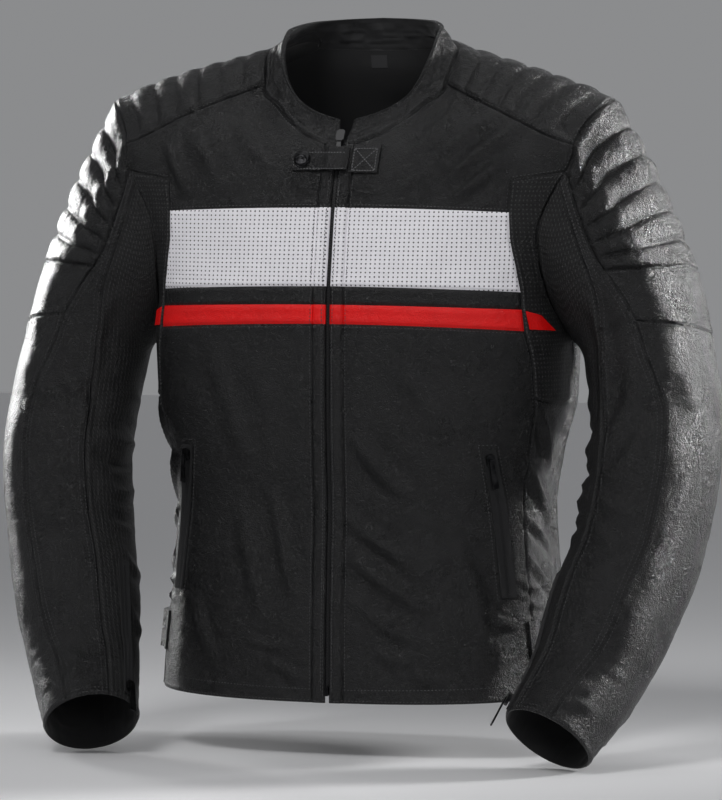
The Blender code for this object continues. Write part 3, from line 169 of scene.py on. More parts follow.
# The neck seam on the front from the slit to the yoke, and the yoke's front and back seams outwards.
NECK_FRONT = [(2.0, -53.0), (22.0, -49.0), (42.0, -40.0), (64.0, -25.0), (81.0, -10.0), (93.0, 5.0)]
YOKE_FRONT = [(93.0, 5.0), (120.0, -6.0), (148.0, -17.0), (180.0, -31.0), (204.0, -43.0), (228.0, -51.0)]
NECK_BACK = [(0.0, 38.0), (22.0, 38.5), (44.0, 39.5), (64.0, 40.5)]
YOKE_BACK = [(64.0, 40.5), (110.0, 20.0), (160.0, -4.0), (200.0, -26.0), (231.0, -46.0)]
NECK_POINT = (93.0, -10.0, 37.0)
SHOULDER_TIP = (247.0, -18.0, -9.0)
# The armhole seam below the yoke: distance in front of the side line (back: behind it) and height.
ARMHOLE_FRONT = [(62.5, -51.0), (69.0, -76.0), (76.0, -103.0), (75.0, -131.0), (61.0, -170.0),
                 (32.0, -213.0), (0.0, -235.0)]
ARMHOLE_BACK = [(0.0, -235.0), (32.0, -212.0), (56.0, -172.0), (68.0, -130.0), (68.0, -96.0),
                (60.0, -68.0), (52.0, -46.0)]
# Heights of the seams across the front, at the slit and at the side piece.
FRONT_ROWS = [("chest", -90.0, -84.0), ("band_top", -110.0, -114.0), ("band_bottom", -183.0, -188.0),
              ("stripe_top", -200.0, -204.0), ("stripe_bottom", -218.0, -224.0),
              ("side_top", -290.0, -287.0), ("hem", -571.0, -567.0)]
HEM_SIDE = -563.0
HEM_BACK = -565.0
UNDERARM = -235.0
# The seam between front and side pieces: height and distance in front of the side line (x near the top).
SIDE_FRONT_TOP = [(-84.0, 169.0), (-114.0, 167.0), (-153.0, 170.0), (-188.0, 176.0), (-224.0, 179.0)]
SIDE_FRONT = [(-262.0, 69.0), (-287.0, 66.0), (-340.0, 59.0), (-400.0, 55.0), (-480.0, 56.0),
              (-567.0, 60.0)]
SIDE_BACK = [(-235.0, 0.0), (-286.0, 12.0), (-340.0, 25.0), (-400.0, 32.0), (-563.0, 36.0)]
# The sleeve from the upper arm to the cuff: centre, half width across and half depth.
SLEEVE = [
    (280.0, -13.0, -244.0, 61.0, 61.0),
    (290.0, -22.0, -300.0, 62.0, 61.5),
    (292.0, -35.0, -342.0, 62.5, 61.5),
    (281.0, -55.0, -426.0, 61.5, 60.0),
    (265.0, -79.0, -482.0, 60.5, 57.0),
    (249.0, -105.0, -537.0, 53.5, 49.0),
    (223.0, -152.0, -593.0, 45.0, 43.0),
]
ARM_CENTRE_Z = -110.0
SLEEVE_TURNS = (1.0, 6.0)      # ways along at which the rings of the table start and end
# Ways along, and the angles (0 outside, 90 front, 180 body side) of the three long seams there.
SLEEVE_SEAM_ROWS = [
    (0.0, 63.0, 71.0, 265.0),
    (0.5, 84.0, 98.0, 265.0),
    (0.9, 82.0, 118.0, 265.0),
    (1.5, 74.0, 124.0, 265.0),
    (2.0, 69.0, 126.0, 265.0),
    (4.0, 67.0, 127.0, 265.0),
    (6.0, 73.0, 128.0, 265.0),
]
CAP_END = (0.72, 0.50)         # how far along the cap ends, at the outside and at its two long seams
MID_END = (0.97, 0.85)
BEHIND_FROM = 250.0            # angles above this one are counted from the outside backwards
SLEEVE_END = (6.0, 6.0)
CUFF_ZIP_AT = 155.0            # angle of the cuff zip round the sleeve
# The top edge of the collar from the front corner to the middle of the back.
COLLAR_TOP = [(7.0, -60.0, -28.0), (30.0, -57.0, -21.0), (54.0, -48.0, -6.0), (67.0, -42.0, 17.0),
              (74.0, -26.0, 44.0), (74.0, -8.0, 57.0), (60.0, 22.0, 65.0), (30.0, 40.0, 68.0),
              (0.0, 46.0, 69.0)]
YOKE_SPAN = 170.0              # length of a yoke over the shoulder
YOKE_ROWS = 4                  # rows of the part's yoke on each side of the shoulder line
BACK_NECK_COLUMNS = 3
SIDE_COLUMNS = 4               # columns of the armhole and side panels
POCKET_TOP = (147.5, -334.0)   # (x, z) of the upper and lower end of a pocket zip
POCKET_FOOT = (163.0, -472.0)
TAB_Z = -513.0                 # height of the middle of the waist tabs
STRAP_Z = -66.5                # and of the neck strap
SNAP_X = -34.0
STRAP_SEAM = [(9, -59), (-36, -59), (-42.3, -62.5), (-42.3, -70.5), (-36, -74), (9, -74)]
HEM_SEAM = [(16, -558.5), (90, -557), (168, -554)]
STRAP_BOX = (16.4, 38.2, -55.3, -75.7)      # left, right, top and bottom of the box sewn on the strap's end
HEM_Z = -560.0                 # where the zip and its stitches end
ZIP_Z = -84.0                  # and where they start, below the strap
FAR = 200.0                    # a place in front of the body, from which its surface is looked for
INTO = (0, 1, 0)               # and the way it is looked for

# ---------------------------------------------------------------- looks in millimetres

PUFF = {"yoke": 2.6, "sleeve_cap": 3.4}   # how far a padded rib stands up at its crown
CAP_SINK = 3.2        # how far the middle of the padded sleeve cap is drawn in
CHANNEL = 0.075       # share of a rib that is flat channel at each of its ends
SEAM_DIP = 1.1        # how deep the leather dips into a seam
SEAM_REACH = 1.7      # how far from the seam it starts to dip
SEAM_RIDGE = 0.55     # how far it stands up beside the dip
RIB_CREASE = 0.9      # depth of the short creases across a padded rib
PLACKET_RISE = 1.4    # how far the folded front edge stands out
COLLAR_ROLL = 1.7     # how far the bound edge of the collar stands out

for old in list(bpy.data.objects):
    bpy.data.objects.remove(old, do_unlink=True)
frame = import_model()


# ---------------------------------------------------------------- curves and sections

def smooth(table, at):
    """Smooth values of a table (first column rising or falling steadily) at the places in at."""
    rows = np.array(table, float)
    if rows[0, 0] > rows[-1, 0]:
        rows = rows[::-1]
    x, y = rows[:, 0], rows[:, 1:]
    step = np.diff(x)[:, None]
    tangent = monotone_tangents(np.diff(y, axis=0) / step)
    at = np.clip(np.asarray(at, float), x[0], x[-1])
    i = np.clip(np.searchsorted(x, at, side="right") - 1, 0, len(x) - 2)
    h = (x[i + 1] - x[i])[..., None]
    s = ((at - x[i])[..., None]) / h
    return hermite(y[i], y[i + 1], h * tangent[i], h * tangent[i + 1], s)


def monotone_tangents(slope):
    """Tangents at the points between slopes, which never overshoot."""
    tangent = np.concatenate([slope[:1], slope])
    inner = slope[:-1] * slope[1:]
    total = slope[:-1] + slope[1:]
    tangent[1:-1] = np.where(inner > 0, 2 * inner / np.where(total == 0, 1, total), 0)
    return tangent


def hermite(a, b, ta, tb, s):
    return ((1 + 2 * s) * (1 - s) ** 2 * a + s * (1 - s) ** 2 * ta
            + s * s * (3 - 2 * s) * b + s * s * (s - 1) * tb)


def way_along(points):
    """How far each point lies along a line of points."""
    return np.concatenate([[0], np.cumsum(np.linalg.norm(np.diff(points, axis=0), axis=1))])


def at_ways(points, ways, at):
    """Points between the given ones, at the ways along in at."""
    return np.column_stack([np.interp(at, ways, column) for column in points.T])


def along(points, fractions):
    """Points at the given fractions of the length of a smooth curve through the given points."""
    pts = np.array(points, float)
    knots = way_along(pts)
    fine = np.linspace(0, knots[-1], 400)
    curve = smooth(np.column_stack([knots, pts]), fine)
    length = way_along(curve)
    return at_ways(curve, length, np.asarray(fractions, float) * length[-1])


def sections(z, samples=181):
    """Half sections of the body at the heights z: points from the middle of the front to the side and
    on to the middle of the back, with the share of the way (0 front, 1 side, 2 back) of each."""
    z = np.atleast_1d(np.asarray(z, float))
    half_width, front, back, square, shoulder = smooth(BODY, z).T[:, :, None]
    turn = np.linspace(0, math.pi / 2, samples)[None, :] ** 1.6 / (math.pi / 2) ** 0.6
    out = np.sin(turn) ** (2 / square)
    deep = np.clip(np.cos(turn), 0, 1) ** (2 / square)
    x = half_width * out
    bulge = shoulder * np.sin(np.pi * np.clip((x - 50) / 200, 0, 1)) ** 2
    shares, lines = [], []
    for y in (-front * deep - bulge, back * deep):
        run = np.concatenate([np.zeros((len(z), 1)),
                              np.cumsum(np.hypot(np.diff(x, axis=1), np.diff(y, axis=1)), axis=1)], axis=1)
        shares.append(run / run[:, -1:])
        lines.append((x, y))
    return shares, lines


def make_body_table():
    heights = np.arange(BODY[-1][0], BODY[0][0] + 0.5, 1.0)
    shares, lines = sections(heights)
    half = np.linspace(0, 1, 401)
    table = np.zeros((len(heights), 801, 2))
    for i in range(len(heights)):
        for k in (0, 1):
            front = np.interp(half, shares[0][i], lines[0][k][i])
            back = np.interp(half, shares[1][i], lines[1][k][i])
            table[i, :, k] = np.concatenate([front, back[::-1][1:]])
    return heights, table


BODY_HEIGHTS, BODY_TABLE = make_body_table()


def body(pz):
    """Points of the body for (p, z) pairs: p is 0 mid front, 1 side, 2 mid back."""
    p, z = np.asarray(pz, float)[..., 0], np.asarray(pz, float)[..., 1]
    row = np.clip((z - BODY_HEIGHTS[0]), 0, len(BODY_HEIGHTS) - 1.001)
    column = np.clip(p * 400, 0, 799.999)
    i, j = row.astype(int), column.astype(int)
    u, v = (row - i)[..., None], (column - j)[..., None]
    xy = ((1 - u) * (1 - v) * BODY_TABLE[i, j] + (1 - u) * v * BODY_TABLE[i, j + 1]
          + u * (1 - v) * BODY_TABLE[i + 1, j] + u * v * BODY_TABLE[i + 1, j + 1])
    return np.concatenate([xy, z[..., None]], axis=-1)


def on_axis(axis, value, z, behind=False):
    """The p of the body point whose x (axis 0) or distance y from the side line (axis 1) is value."""
    shares, lines = sections(z)
    side = 1 if behind else 0
    values = np.atleast_1d(np.asarray(value, float))
    sign = -1 if axis else 1
    share = np.array([np.interp(sign * abs(v), sign * np.abs(lines[side][axis][i]), shares[side][i])
                      for i, v in enumerate(values)])
    return 2 - share if behind else share


def to_pz(pairs, axis=0, behind=False):
    """The (p, z) of the body's points at (x, z) pairs (axis 0) or (distance from the side line, z) pairs."""
    value, z = np.array(pairs, float).T
    return np.column_stack([np.where(behind, on_axis(axis, value, z, True), on_axis(axis, value, z)), z])


def patch(top, bottom, left, right):
    """A grid in (p, z) between four edges, each a list of (p, z), rows from top to bottom."""
    top, bottom, left, right = (np.array(edge, float) for edge in (top, bottom, left, right))
    v = np.linspace(0, 1, len(left))[:, None, None]
    u = np.linspace(0, 1, len(top))[None, :, None]
    corners = ((1 - u) * (1 - v) * top[0] + u * (1 - v) * top[-1]
               + (1 - u) * v * bottom[0] + u * v * bottom[-1])
    return ((1 - v) * top[None] + v * bottom[None] + (1 - u) * left[:, None] + u * right[:, None] - corners)


# ---------------------------------------------------------------- fine grids

def cuts(count, before=False, after=False):
    """Where one step of the part's grid is cut, closer together next to a seam before or after it."""
    even = np.linspace(0, 1, count + 1)
    if before:
        even = np.concatenate([[0, 0.035, 0.09], even[1:]])
    if after:
        even = np.concatenate([even[:-1], [0.91, 0.965, 1.0]])
    return even[1:]


def spread(grid, axis, steps, breaks=()):
    """The grid with each step along axis cut as steps says, on smooth lines that end at the breaks."""
    grid = np.moveaxis(np.asarray(grid, float), axis, 0)
    stops = [0, *breaks, len(grid) - 1]
    out = [grid[:1]]
    for a, b in zip(stops, stops[1:]):
        slope = np.diff(grid[a:b + 1], axis=0)
        tangent = monotone_tangents(slope)
        for i in range(b - a):
            s = steps[a + i].reshape(-1, *[1] * (grid.ndim - 1))
            out.append(hermite(grid[a + i], grid[a + i + 1], tangent[i], tangent[i + 1], s))
    return np.moveaxis(np.concatenate(out), 0, axis)


COLUMN_CUTS = ([cuts(4, before=True), cuts(2)] + [cuts(9)] * 6 + [cuts(9, after=True)]
               + [cuts(7, before=True), cuts(7), cuts(7), cuts(6, after=True)])
TOP_CUTS = [cuts(6, before=True), cuts(7)]
ROW_CUTS = ([cuts(4), cuts(4, after=True), cuts(9, before=True), cuts(9), cuts(9, after=True),
             cuts(5, True, True), cuts(6, True, True), cuts(10, before=True), cuts(10)]
            + [cuts(12)] * 7 + [cuts(12, after=True)])
YOKE_COLUMN_CUTS = COLUMN_CUTS[6:]   # the columns of the front that lie below the yoke
GUSSET_ROWS = 7                # rows of the part's grid beside the armhole
ARM_BACK_CUTS = [cuts(8)] * 6
BACK_ROW_CUTS = [cuts(10)] * 2 + [cuts(12)] * 7 + [cuts(12, after=True)]
BACK_NECK_CUTS = [cuts(9)] * BACK_NECK_COLUMNS
YOKE_CUTS = [cuts(8, before=True)] + [cuts(8)] * (2 * YOKE_ROWS - 2) + [cuts(8, after=True)]
RIB_CUTS = cuts(10, True, True)
MIDDLE_CUTS = cuts(20, True, True)
LOWER_STEPS = [cuts(9, before=True)] + [cuts(9)] * 10 + [cuts(9, after=True)]
LOWER_CUTS = np.concatenate([k + c for k, c in enumerate(LOWER_STEPS)]) / len(LOWER_STEPS)


def plan_body():
    """(p, z) grids of the pieces of one half of the body, and the named edges between them."""
    side_front = ([(z, float(on_axis(0, x, z)[0])) for z, x in SIDE_FRONT_TOP]
                  + [(z, float(on_axis(1, y, z)[0])) for z, y in SIDE_FRONT])
    side_back = [(z, float(on_axis(1, y, z, behind=True)[0])) for z, y in SIDE_BACK]

    def line_at(table, heights):
        return np.column_stack([smooth(table, heights)[:, 0], heights])

    neck_xs = [SLIT_HALF, SLIT_HALF + PLACKET - 1.5, SLIT_HALF + PLACKET + 0.5]
    neck = along(NECK_FRONT, np.linspace(0, 1, 101))
    reach = [float(np.interp(x, neck[:, 0], np.linspace(0, 1, 101))) for x in neck_xs[1:]]
    neck_pz = to_pz(along(NECK_FRONT, [0, reach[0], *np.linspace(reach[1], 1, 5)]))
    yoke_shares = np.append(np.linspace(0, 1 - 1 / 9, RIBS + 1), 1)
    yoke_pz = to_pz(along(YOKE_FRONT, yoke_shares))
    top = np.vstack([neck_pz, yoke_pz[1:]])
    body_columns = len(top) - SIDE_COLUMNS

    def row_line(z_slit, z_side):
        p_end = float(smooth(side_front, [z_side])[0, 0])
        p_start = [float(on_axis(0, x, z_slit)[0]) for x in neck_xs]
        p = np.concatenate([p_start[:2], np.linspace(p_start[2], p_end, body_columns - 2)])
        share = (p - p[0]) / (p[-1] - p[0])
        return np.column_stack([p, z_slit + (z_side - z_slit) * share ** 2])

    def slit_line(z_from, z_to, count):
        z = np.linspace(z_from, z_to, count)
        return np.column_stack([on_axis(0, np.full(count, SLIT_HALF), z), z])

    armhole = along(ARMHOLE_FRONT, np.linspace(0, 1, 201))
    to_gusset = (armhole[:, 1] > ARMHOLE_FRONT[1][1]).mean()
    short = to_gusset + np.array([0.022, 0.05])
    arm_yz = along(ARMHOLE_FRONT, [*np.linspace(0, to_gusset, 3), *short, *np.linspace(short[-1], 1, 6)[1:]])
    arm_pz = to_pz(arm_yz, axis=1)
    arm_pz[-1, 0] = 1.0

    rows = {name: (z_slit, z_side) for name, z_slit, z_side in FRONT_ROWS}
    chest = row_line(*rows["chest"])
    gusset_top = np.linspace(chest[-1], arm_pz[2], SIDE_COLUMNS + 1)
    sheets = {}

    def keep(name, grid, row_cuts, column_cuts, row_breaks=(), column_breaks=()):
        fine = spread(spread(grid, 0, row_cuts, row_breaks), 1, column_cuts, column_breaks)
        sheets.setdefault(name, []).append(fine)
        return fine

    corner, last = len(neck_pz) - 1, body_columns - 1
    chest_all = np.vstack([chest, gusset_top[1:]])
    upper = patch(top, chest_all, slit_line(-53.0, rows["chest"][0], 3), arm_pz[:3])
    edges = {}
    upper_fine = keep("front_upper", upper, TOP_CUTS, COLUMN_CUTS, column_breaks=(corner, last))
    plan = [("front_upper", "chest", "band_top", 3), ("white_band", "band_top", "band_bottom", 4),
            ("black_strip", "band_bottom", "stripe_top", 2), ("red_stripe", "stripe_top", "stripe_bottom", 2),
            ("front_lower", "stripe_bottom", "side_top", 3), ("front_lower", "side_top", "hem", 9)]
    side_rows, start = [chest[-1:]], 0
    for name, above, below, count in plan:
        left = slit_line(rows[above][0], rows[below][0], count)
        right = line_at(side_front, np.linspace(rows[above][1], rows[below][1], count))
        keep(name, patch(row_line(*rows[above]), row_line(*rows[below]), left, right),
             ROW_CUTS[start:start + count - 1], COLUMN_CUTS[:last], column_breaks=(corner,))
        side_rows.append(right[1:])
        start += count - 1
    side_column = np.vstack(side_rows)
    side_cuts = COLUMN_CUTS[last:]
    sag = np.sin(np.linspace(0, math.pi, SIDE_COLUMNS + 1))
    under = np.linspace(side_column[GUSSET_ROWS], arm_pz[-1], SIDE_COLUMNS + 1)
    under[:, 1] += 3.0 * sag
    gusset_fine = keep("armhole_mesh", patch(gusset_top, under, side_column[:GUSSET_ROWS + 1], arm_pz[2:]),
                       ROW_CUTS[:GUSSET_ROWS], side_cuts)

    back_rows_z = np.concatenate([np.linspace(UNDERARM, rows["side_top"][1], 3),
                                  np.linspace(rows["side_top"][1], HEM_SIDE, 9)[1:]])
    back_column = line_at(side_back, back_rows_z)
    back_column[0] = arm_pz[-1]
    low = GUSSET_ROWS + 2
    gore = np.linspace(side_column[low], back_column[2], SIDE_COLUMNS + 1)
    gore[:, 1] -= 6.0 * sag
    keep("armhole_mesh", patch(under, gore, side_column[low - 2:low + 1], back_column[:3]),
         ROW_CUTS[low - 2:low], side_cuts)
    hem_side = np.linspace(side_column[-1], back_column[-1], SIDE_COLUMNS + 1)
    keep("side_panel", patch(gore, hem_side, side_column[low:], back_column[2:]), ROW_CUTS[low:], side_cuts)

    back_yoke = to_pz(along(YOKE_BACK, yoke_shares), behind=True)
    back_neck = to_pz(along(NECK_BACK, np.linspace(1, 0, BACK_NECK_COLUMNS + 1)), behind=True)
    back_top = np.vstack([back_yoke[::-1], back_neck[1:]])
    back_arm = along(ARMHOLE_BACK[::-1], np.array([0, 0.13, 0.28, 0.46, 0.64, 0.82, 1.0]))
    back_arm_pz = to_pz(back_arm, axis=1, behind=True)
    back_arm_pz[-1, 0] = 1.0
    back_arm_pz[0] = back_top[0]
    middle_top = np.column_stack([np.full(7, 2.0), np.linspace(back_top[-1, 1], UNDERARM - 5, 7)])
    waist_row = np.linspace(back_arm_pz[-1], middle_top[-1], len(back_top))
    back_cuts = [mirrored(c) for c in COLUMN_CUTS[corner:][::-1]] + BACK_NECK_CUTS
    neck_break = len(yoke_shares) - 1
    back_fine = keep("back", patch(back_top, waist_row, back_arm_pz, middle_top), ARM_BACK_CUTS, back_cuts,
                     column_breaks=(neck_break,))
    middle_low = np.column_stack([np.full(len(back_rows_z), 2.0),
                                  np.linspace(UNDERARM - 5, HEM_BACK, len(back_rows_z))])
    hem_row = np.linspace(back_column[-1], middle_low[-1], len(back_top))
    keep("back", patch(waist_row, hem_row, back_column, middle_low), BACK_ROW_CUTS, back_cuts,
         column_breaks=(neck_break,))

    neck_count = sum(len(c) for c in COLUMN_CUTS[:corner])
    back_count = sum(len(c) for c in back_cuts[:neck_break])
    edges = {"neck_front": upper_fine[0, :neck_count + 1], "yoke_front": upper_fine[0, neck_count:],
             "arm_upper": upper_fine[:, -1], "arm_gusset": gusset_fine[:, -1], "arm_back": back_fine[:, 0],
             "yoke_back": back_fine[0, :back_count + 1][::-1], "neck_back": back_fine[0, back_count:]}
    return sheets, edges, yoke_shares


def unit_rows(vectors):
    """The vectors with length 1, or 0 where they have none."""
    return vectors / np.maximum(np.linalg.norm(vectors, axis=1, keepdims=True), 1e-9)


def mirrored(steps):
    """The cuts of the same step taken the other way round."""
    inner = 1 - np.append(0, steps)[::-1]
    return inner[1:]


def unit(vector):
    vector = np.asarray(vector, float)
    return vector / np.linalg.norm(vector)


def plan_yoke(front, back, columns):
    """The yoke of the left half: arches from the front seam over the shoulder line to the back seam.
    columns is the share of the way out of each fine column."""
    ridge = np.outer(1 - columns, NECK_POINT) + np.outer(columns, SHOULDER_TIP)
    ridge[:, 2] += 3.0 * np.sin(np.pi * columns)
    arches = []
    for f, r, b in zip(front, ridge, back):
        up_front = unit((0.1, 0.62, 0.78)) * np.linalg.norm(r - f)
        over = unit((b - f) * (1, 1, 0.15)) * np.linalg.norm(b - f) / 2
        down_back = unit((0.05, 0.55, -0.83)) * np.linalg.norm(b - r)
        half = np.linspace(0, 1, YOKE_ROWS + 1)
        steps = [np.interp(np.append(0, np.concatenate([c + i for i, c in enumerate(part)])),
                           range(YOKE_ROWS + 1), half)[:, None]
                 for part in (YOKE_CUTS[:YOKE_ROWS], YOKE_CUTS[YOKE_ROWS:])]
        arches.append(np.vstack([hermite(f, r, up_front, over, steps[0]),
                                 hermite(r, b, over, down_back, steps[1])[1:]]))
    return np.array(arches).transpose(1, 0, 2)


def ring_frame(w):
    """Centre and sizes, direction, and the outward and forward axes of the sleeve's rings at w."""
    table = np.column_stack([np.linspace(*SLEEVE_TURNS, len(SLEEVE)), np.array(SLEEVE)])
    rows = smooth(table, w)
    run = (smooth(table, np.minimum(w + 0.05, SLEEVE_TURNS[1]))
           - smooth(table, np.maximum(w - 0.05, SLEEVE_TURNS[0])))[:, :3]
    run /= np.linalg.norm(run, axis=1, keepdims=True)
    outward = np.array([1.0, 0, 0]) - run * run[:, :1]
    outward /= np.linalg.norm(outward, axis=1, keepdims=True)
    return rows, run, outward, np.cross(run, outward)


def ring_point(angle, w):
    rows, run, outward, forward = ring_frame(w)
    turn = np.radians(angle)
    return (rows[:, :3] + (rows[:, 3] * np.cos(turn))[:, None] * outward
            + (rows[:, 4] * np.sin(turn))[:, None] * forward), run


def make_sleeve_form(ring_points):
    """The sleeve as a function of the angle and the way along, from the armhole ring to the cuff."""
    angles = np.degrees(np.arctan2(-ring_points[:, 1], ring_points[:, 2] - ARM_CENTRE_Z)) % 360
    angles[0] = 0.0
    angles = np.maximum.accumulate(angles) + np.arange(len(angles)) * 1e-6
    loop = np.column_stack([np.append(angles, 360.0), np.vstack([ring_points, ring_points[:1]])])

    def form(angle, w):
        angle, w = np.broadcast_arrays(np.asarray(angle, float) % 360, np.asarray(w, float))
        near = np.clip(w, 0, SLEEVE_TURNS[0])[:, None] / SLEEVE_TURNS[0]
        start = smooth(loop, angle)
        end, run = ring_point(angle, np.full(len(w), SLEEVE_TURNS[0]))
        chord = end - start
        length = np.linalg.norm(chord, axis=1, keepdims=True)
        top = np.clip(np.cos(np.radians(angle)), 0, 1)[:, None] ** 2
        leave = (chord / length * (1 - top) + top * unit((0.55, 0, -0.83))) * length
        shoulder = hermite(start, end, leave, run * length, near)
        arm, _ = ring_point(angle, np.clip(w, *SLEEVE_TURNS))
        return np.where((w <= SLEEVE_TURNS[0])[:, None], shoulder, arm)

    return angles, form


def plan_sleeve(ring_points, ring_cuts):
    """The left sleeve's points, angles and ways along on one fine grid, its long seams' columns, the last
    rows of the cap, the middle and the cuff, and its form. ring_cuts has the cuts of each coarse step."""
    fine_angles, form = make_sleeve_form(ring_points)
    angles = fine_angles[np.append(0, np.cumsum([len(c) for c in ring_cuts]))[:-1]]
    count = len(angles)
    front_seam = YOKE_ROWS + 2
    inner_seam = front_seam + 2
    back_seam = count - YOKE_ROWS - 2
    at_start = (angles[front_seam], angles[inner_seam], angles[back_seam])
    table = [(w0, *(at_start if w0 == 0 else seams)) for w0, *seams in SLEEVE_SEAM_ROWS]

    def rescale(values, low, high):
        return low + (high - low) * (values - values[0]) / (values[-1] - values[0])

    def column_angles(w):
        f, i, b = smooth(table, [w])[0]
        ends = ((0, front_seam, 0, f), (front_seam, inner_seam, f, i), (inner_seam, back_seam, i, b),
                (back_seam, count, b, 360))
        closed = np.append(angles, 360)
        base = np.concatenate([rescale(closed[a:z + 1], low, high)[1:] for a, z, low, high in ends])
        even = np.concatenate([np.linspace(low, high, z - a + 1)[1:] for a, z, low, high in ends])
        keep = max(0.0, 1 - w / 0.6)
        coarse = np.append(0, keep * base + (1 - keep) * even)
        return spread(coarse[:, None], 0, ring_cuts, (front_seam, inner_seam, back_seam))[:-1, 0]

    def stretch(start, end, steps):
        return np.array(start) + (np.array(end) - np.array(start)) * np.asarray(steps)[:, None]

    cap_steps = np.concatenate([(rib + RIB_CUTS) / RIBS for rib in range(RIBS)])
    pairs = np.vstack([[0, 0], stretch((0, 0), CAP_END, cap_steps),
                       stretch(CAP_END, MID_END, MIDDLE_CUTS), stretch(MID_END, SLEEVE_END, LOWER_CUTS)])
    points, turns = [], []
    for w_top, w_side in pairs:
        angle = column_angles(w_side)
        lead = np.clip(np.cos(np.radians(angle)), 0, 1)
        points.append(form(angle, w_side + (w_top - w_side) * lead))
        turns.append(np.column_stack([angle, w_side + (w_top - w_side) * lead]))
    marks = [int(sum(len(c) for c in ring_cuts[:k])) for k in (front_seam, inner_seam, back_seam)]
    rows = (len(cap_steps), len(cap_steps) + len(MIDDLE_CUTS), len(pairs) - 1)
    return np.array(points), np.array(turns), marks, rows, form


# ---------------------------------------------------------------- cloth pieces

class Cloth:
    """One cut piece: its points, faces and named values of each point."""

    def __init__(self, name, group, side=0):
        self.name, self.group, self.side = name, group, side
        self.base = name.rsplit("_", 1)[0] if side else name
        self.points, self.values, self.faces, self.count = [], {}, [], 0

    def add(self, points, side, **values):
        """Adds a grid of the left half's points, or their mirror image where side is -1. Its rows run down
        and its columns towards +X as seen from outside."""
        points = points * (side, 1, 1)
        ids = np.arange(points.shape[0] * points.shape[1]).reshape(points.shape[:2]) + self.count
        quads = np.stack([ids[:-1, :-1], ids[1:, :-1], ids[1:, 1:], ids[:-1, 1:]], axis=-1).reshape(-1, 4)
        self.faces.append(quads[:, ::-1] if side < 0 else quads)
        points = points * np.where(np.abs(points[..., :1]) < ON_MIDDLE, (0.0, 1.0, 1.0), 1.0)
        self.points.append(points.reshape(-1, 3))
        for name, value in values.items():
            self.values.setdefault(name, []).append(np.array(value).reshape(ids.size, -1))
        self.count += ids.size

    def close(self):
        """Joins grids where they meet, and finds the borders and normals."""
        points = np.vstack(self.points)
        _, first, place = np.unique(np.round(points, 3) + 0.0, axis=0, return_index=True, return_inverse=True)
        self.points = points[first]
        self.values = {name: np.vstack(v)[first] for name, v in self.values.items()}
        self.faces = place.ravel()[np.vstack(self.faces)]
        a, b, c, d = (self.points[self.faces[:, k]] for k in range(4))
        weight = np.cross(c - a, d - b)
        self.normals = np.zeros_like(self.points)
        for k in range(4):
            np.add.at(self.normals, self.faces[:, k], weight)
        self.normals = unit_rows(self.normals)
        starts = self.faces.ravel()
        ends = np.roll(self.faces, -1, axis=1).ravel()
        size = len(self.points)
        forward, backward = starts * size + ends, ends * size + starts
        alone = ~np.isin(forward, backward)
        self.border = np.column_stack([starts[alone], ends[alone]])
        centre = (a + b + c + d)[np.repeat(np.arange(len(self.faces)), 4)[alone]] / 4
        p, q = self.points[self.border[:, 0]], self.points[self.border[:, 1]]
        inward = np.cross(self.normals[self.border[:, 0]], q - p)
        inward = unit_rows(inward * np.sign(((centre - (p + q) / 2) * inward).sum(axis=1))[:, None])
        self.inward = np.zeros_like(self.points)
        for k in (0, 1):
            np.add.at(self.inward, self.border[:, k], inward)
        self.inward = unit_rows(self.inward)
        self.stretch = np.ones(size)


def share_normals(cloths):
    """Gives points that several pieces share one direction, and lengthens the wall where they fold."""
    spots = [(c, k) for c in cloths for k in np.unique(c.border)]
    tree = KDTree(len(spots))
    for i, (c, k) in enumerate(spots):
        tree.insert(Vector(c.points[k]), i)
    tree.balance()
    own = {c.name: c.normals.copy() for c in cloths}
    for c, k in spots:
        found = [spots[i] for _, i, _ in tree.find_range(Vector(c.points[k]), SAME_PLACE)]
        groups = {}
        for other, j in found:
            groups.setdefault(other.group, []).append(own[other.name][j])
        means = {g: unit(np.sum(n, axis=0)) for g, n in groups.items()}
        mean = unit(np.sum(list(means.values()), axis=0))
        c.normals[k] = mean
        c.stretch[k] = min(1 / max(float(np.dot(means[c.group], mean)), 0.3), MITRE_LIMIT)


def border_distance(cloth):
    """Each point's distance from the nearest border of its piece."""
    ids = np.unique(cloth.border)
    ends = cloth.points[cloth.border]
    between = np.vstack([cloth.points[ids], ends.mean(axis=1)])
    tree = KDTree(len(between))
    for i, p in enumerate(between):
        tree.insert(Vector(p), i)
    tree.balance()
    return np.array([tree.find(Vector(p))[2] for p in cloth.points])


# ---------------------------------------------------------------- folds and wrinkles

def lattice(cells, seed):
    """A repeatable value from -1 to 1 for each corner of a grid of cells."""
    x, y, z = (cells[..., k].astype(np.int64) for k in range(3))
    h = (x * 374761393 + y * 668265263 + z * 1274126177 + seed * 974634777) & 0xFFFFFFFF
    h = ((h ^ (h >> 13)) * 1103515245) & 0xFFFFFFFF
    h = (h ^ (h >> 16)) & 0xFFFFFFFF
    return h / 0x7FFFFFFF - 1.0


def noise(points, size, seed=0):
    """Soft noise from about -1 to 1. size is the length of one wave along each axis."""
    at = np.asarray(points, float) / np.asarray(size, float)
    cell = np.floor(at).astype(int)
    f = at - cell
    f = f * f * f * (f * (f * 6 - 15) + 10)
    total = 0
    for corner in np.ndindex(2, 2, 2):
        weight = np.prod([f[..., k] if corner[k] else 1 - f[..., k] for k in range(3)], axis=0)
        total = total + weight * lattice(cell + np.array(corner), seed)
    return total


def ridged(points, size, seed=0):
    """Noise with narrow crests, from 0 to 1."""
    return (1 - np.abs(noise(points, size, seed))) ** 3


def bell(x):
    """1 at 0, falling smoothly to nothing on both sides."""
    return np.exp(-x * x)


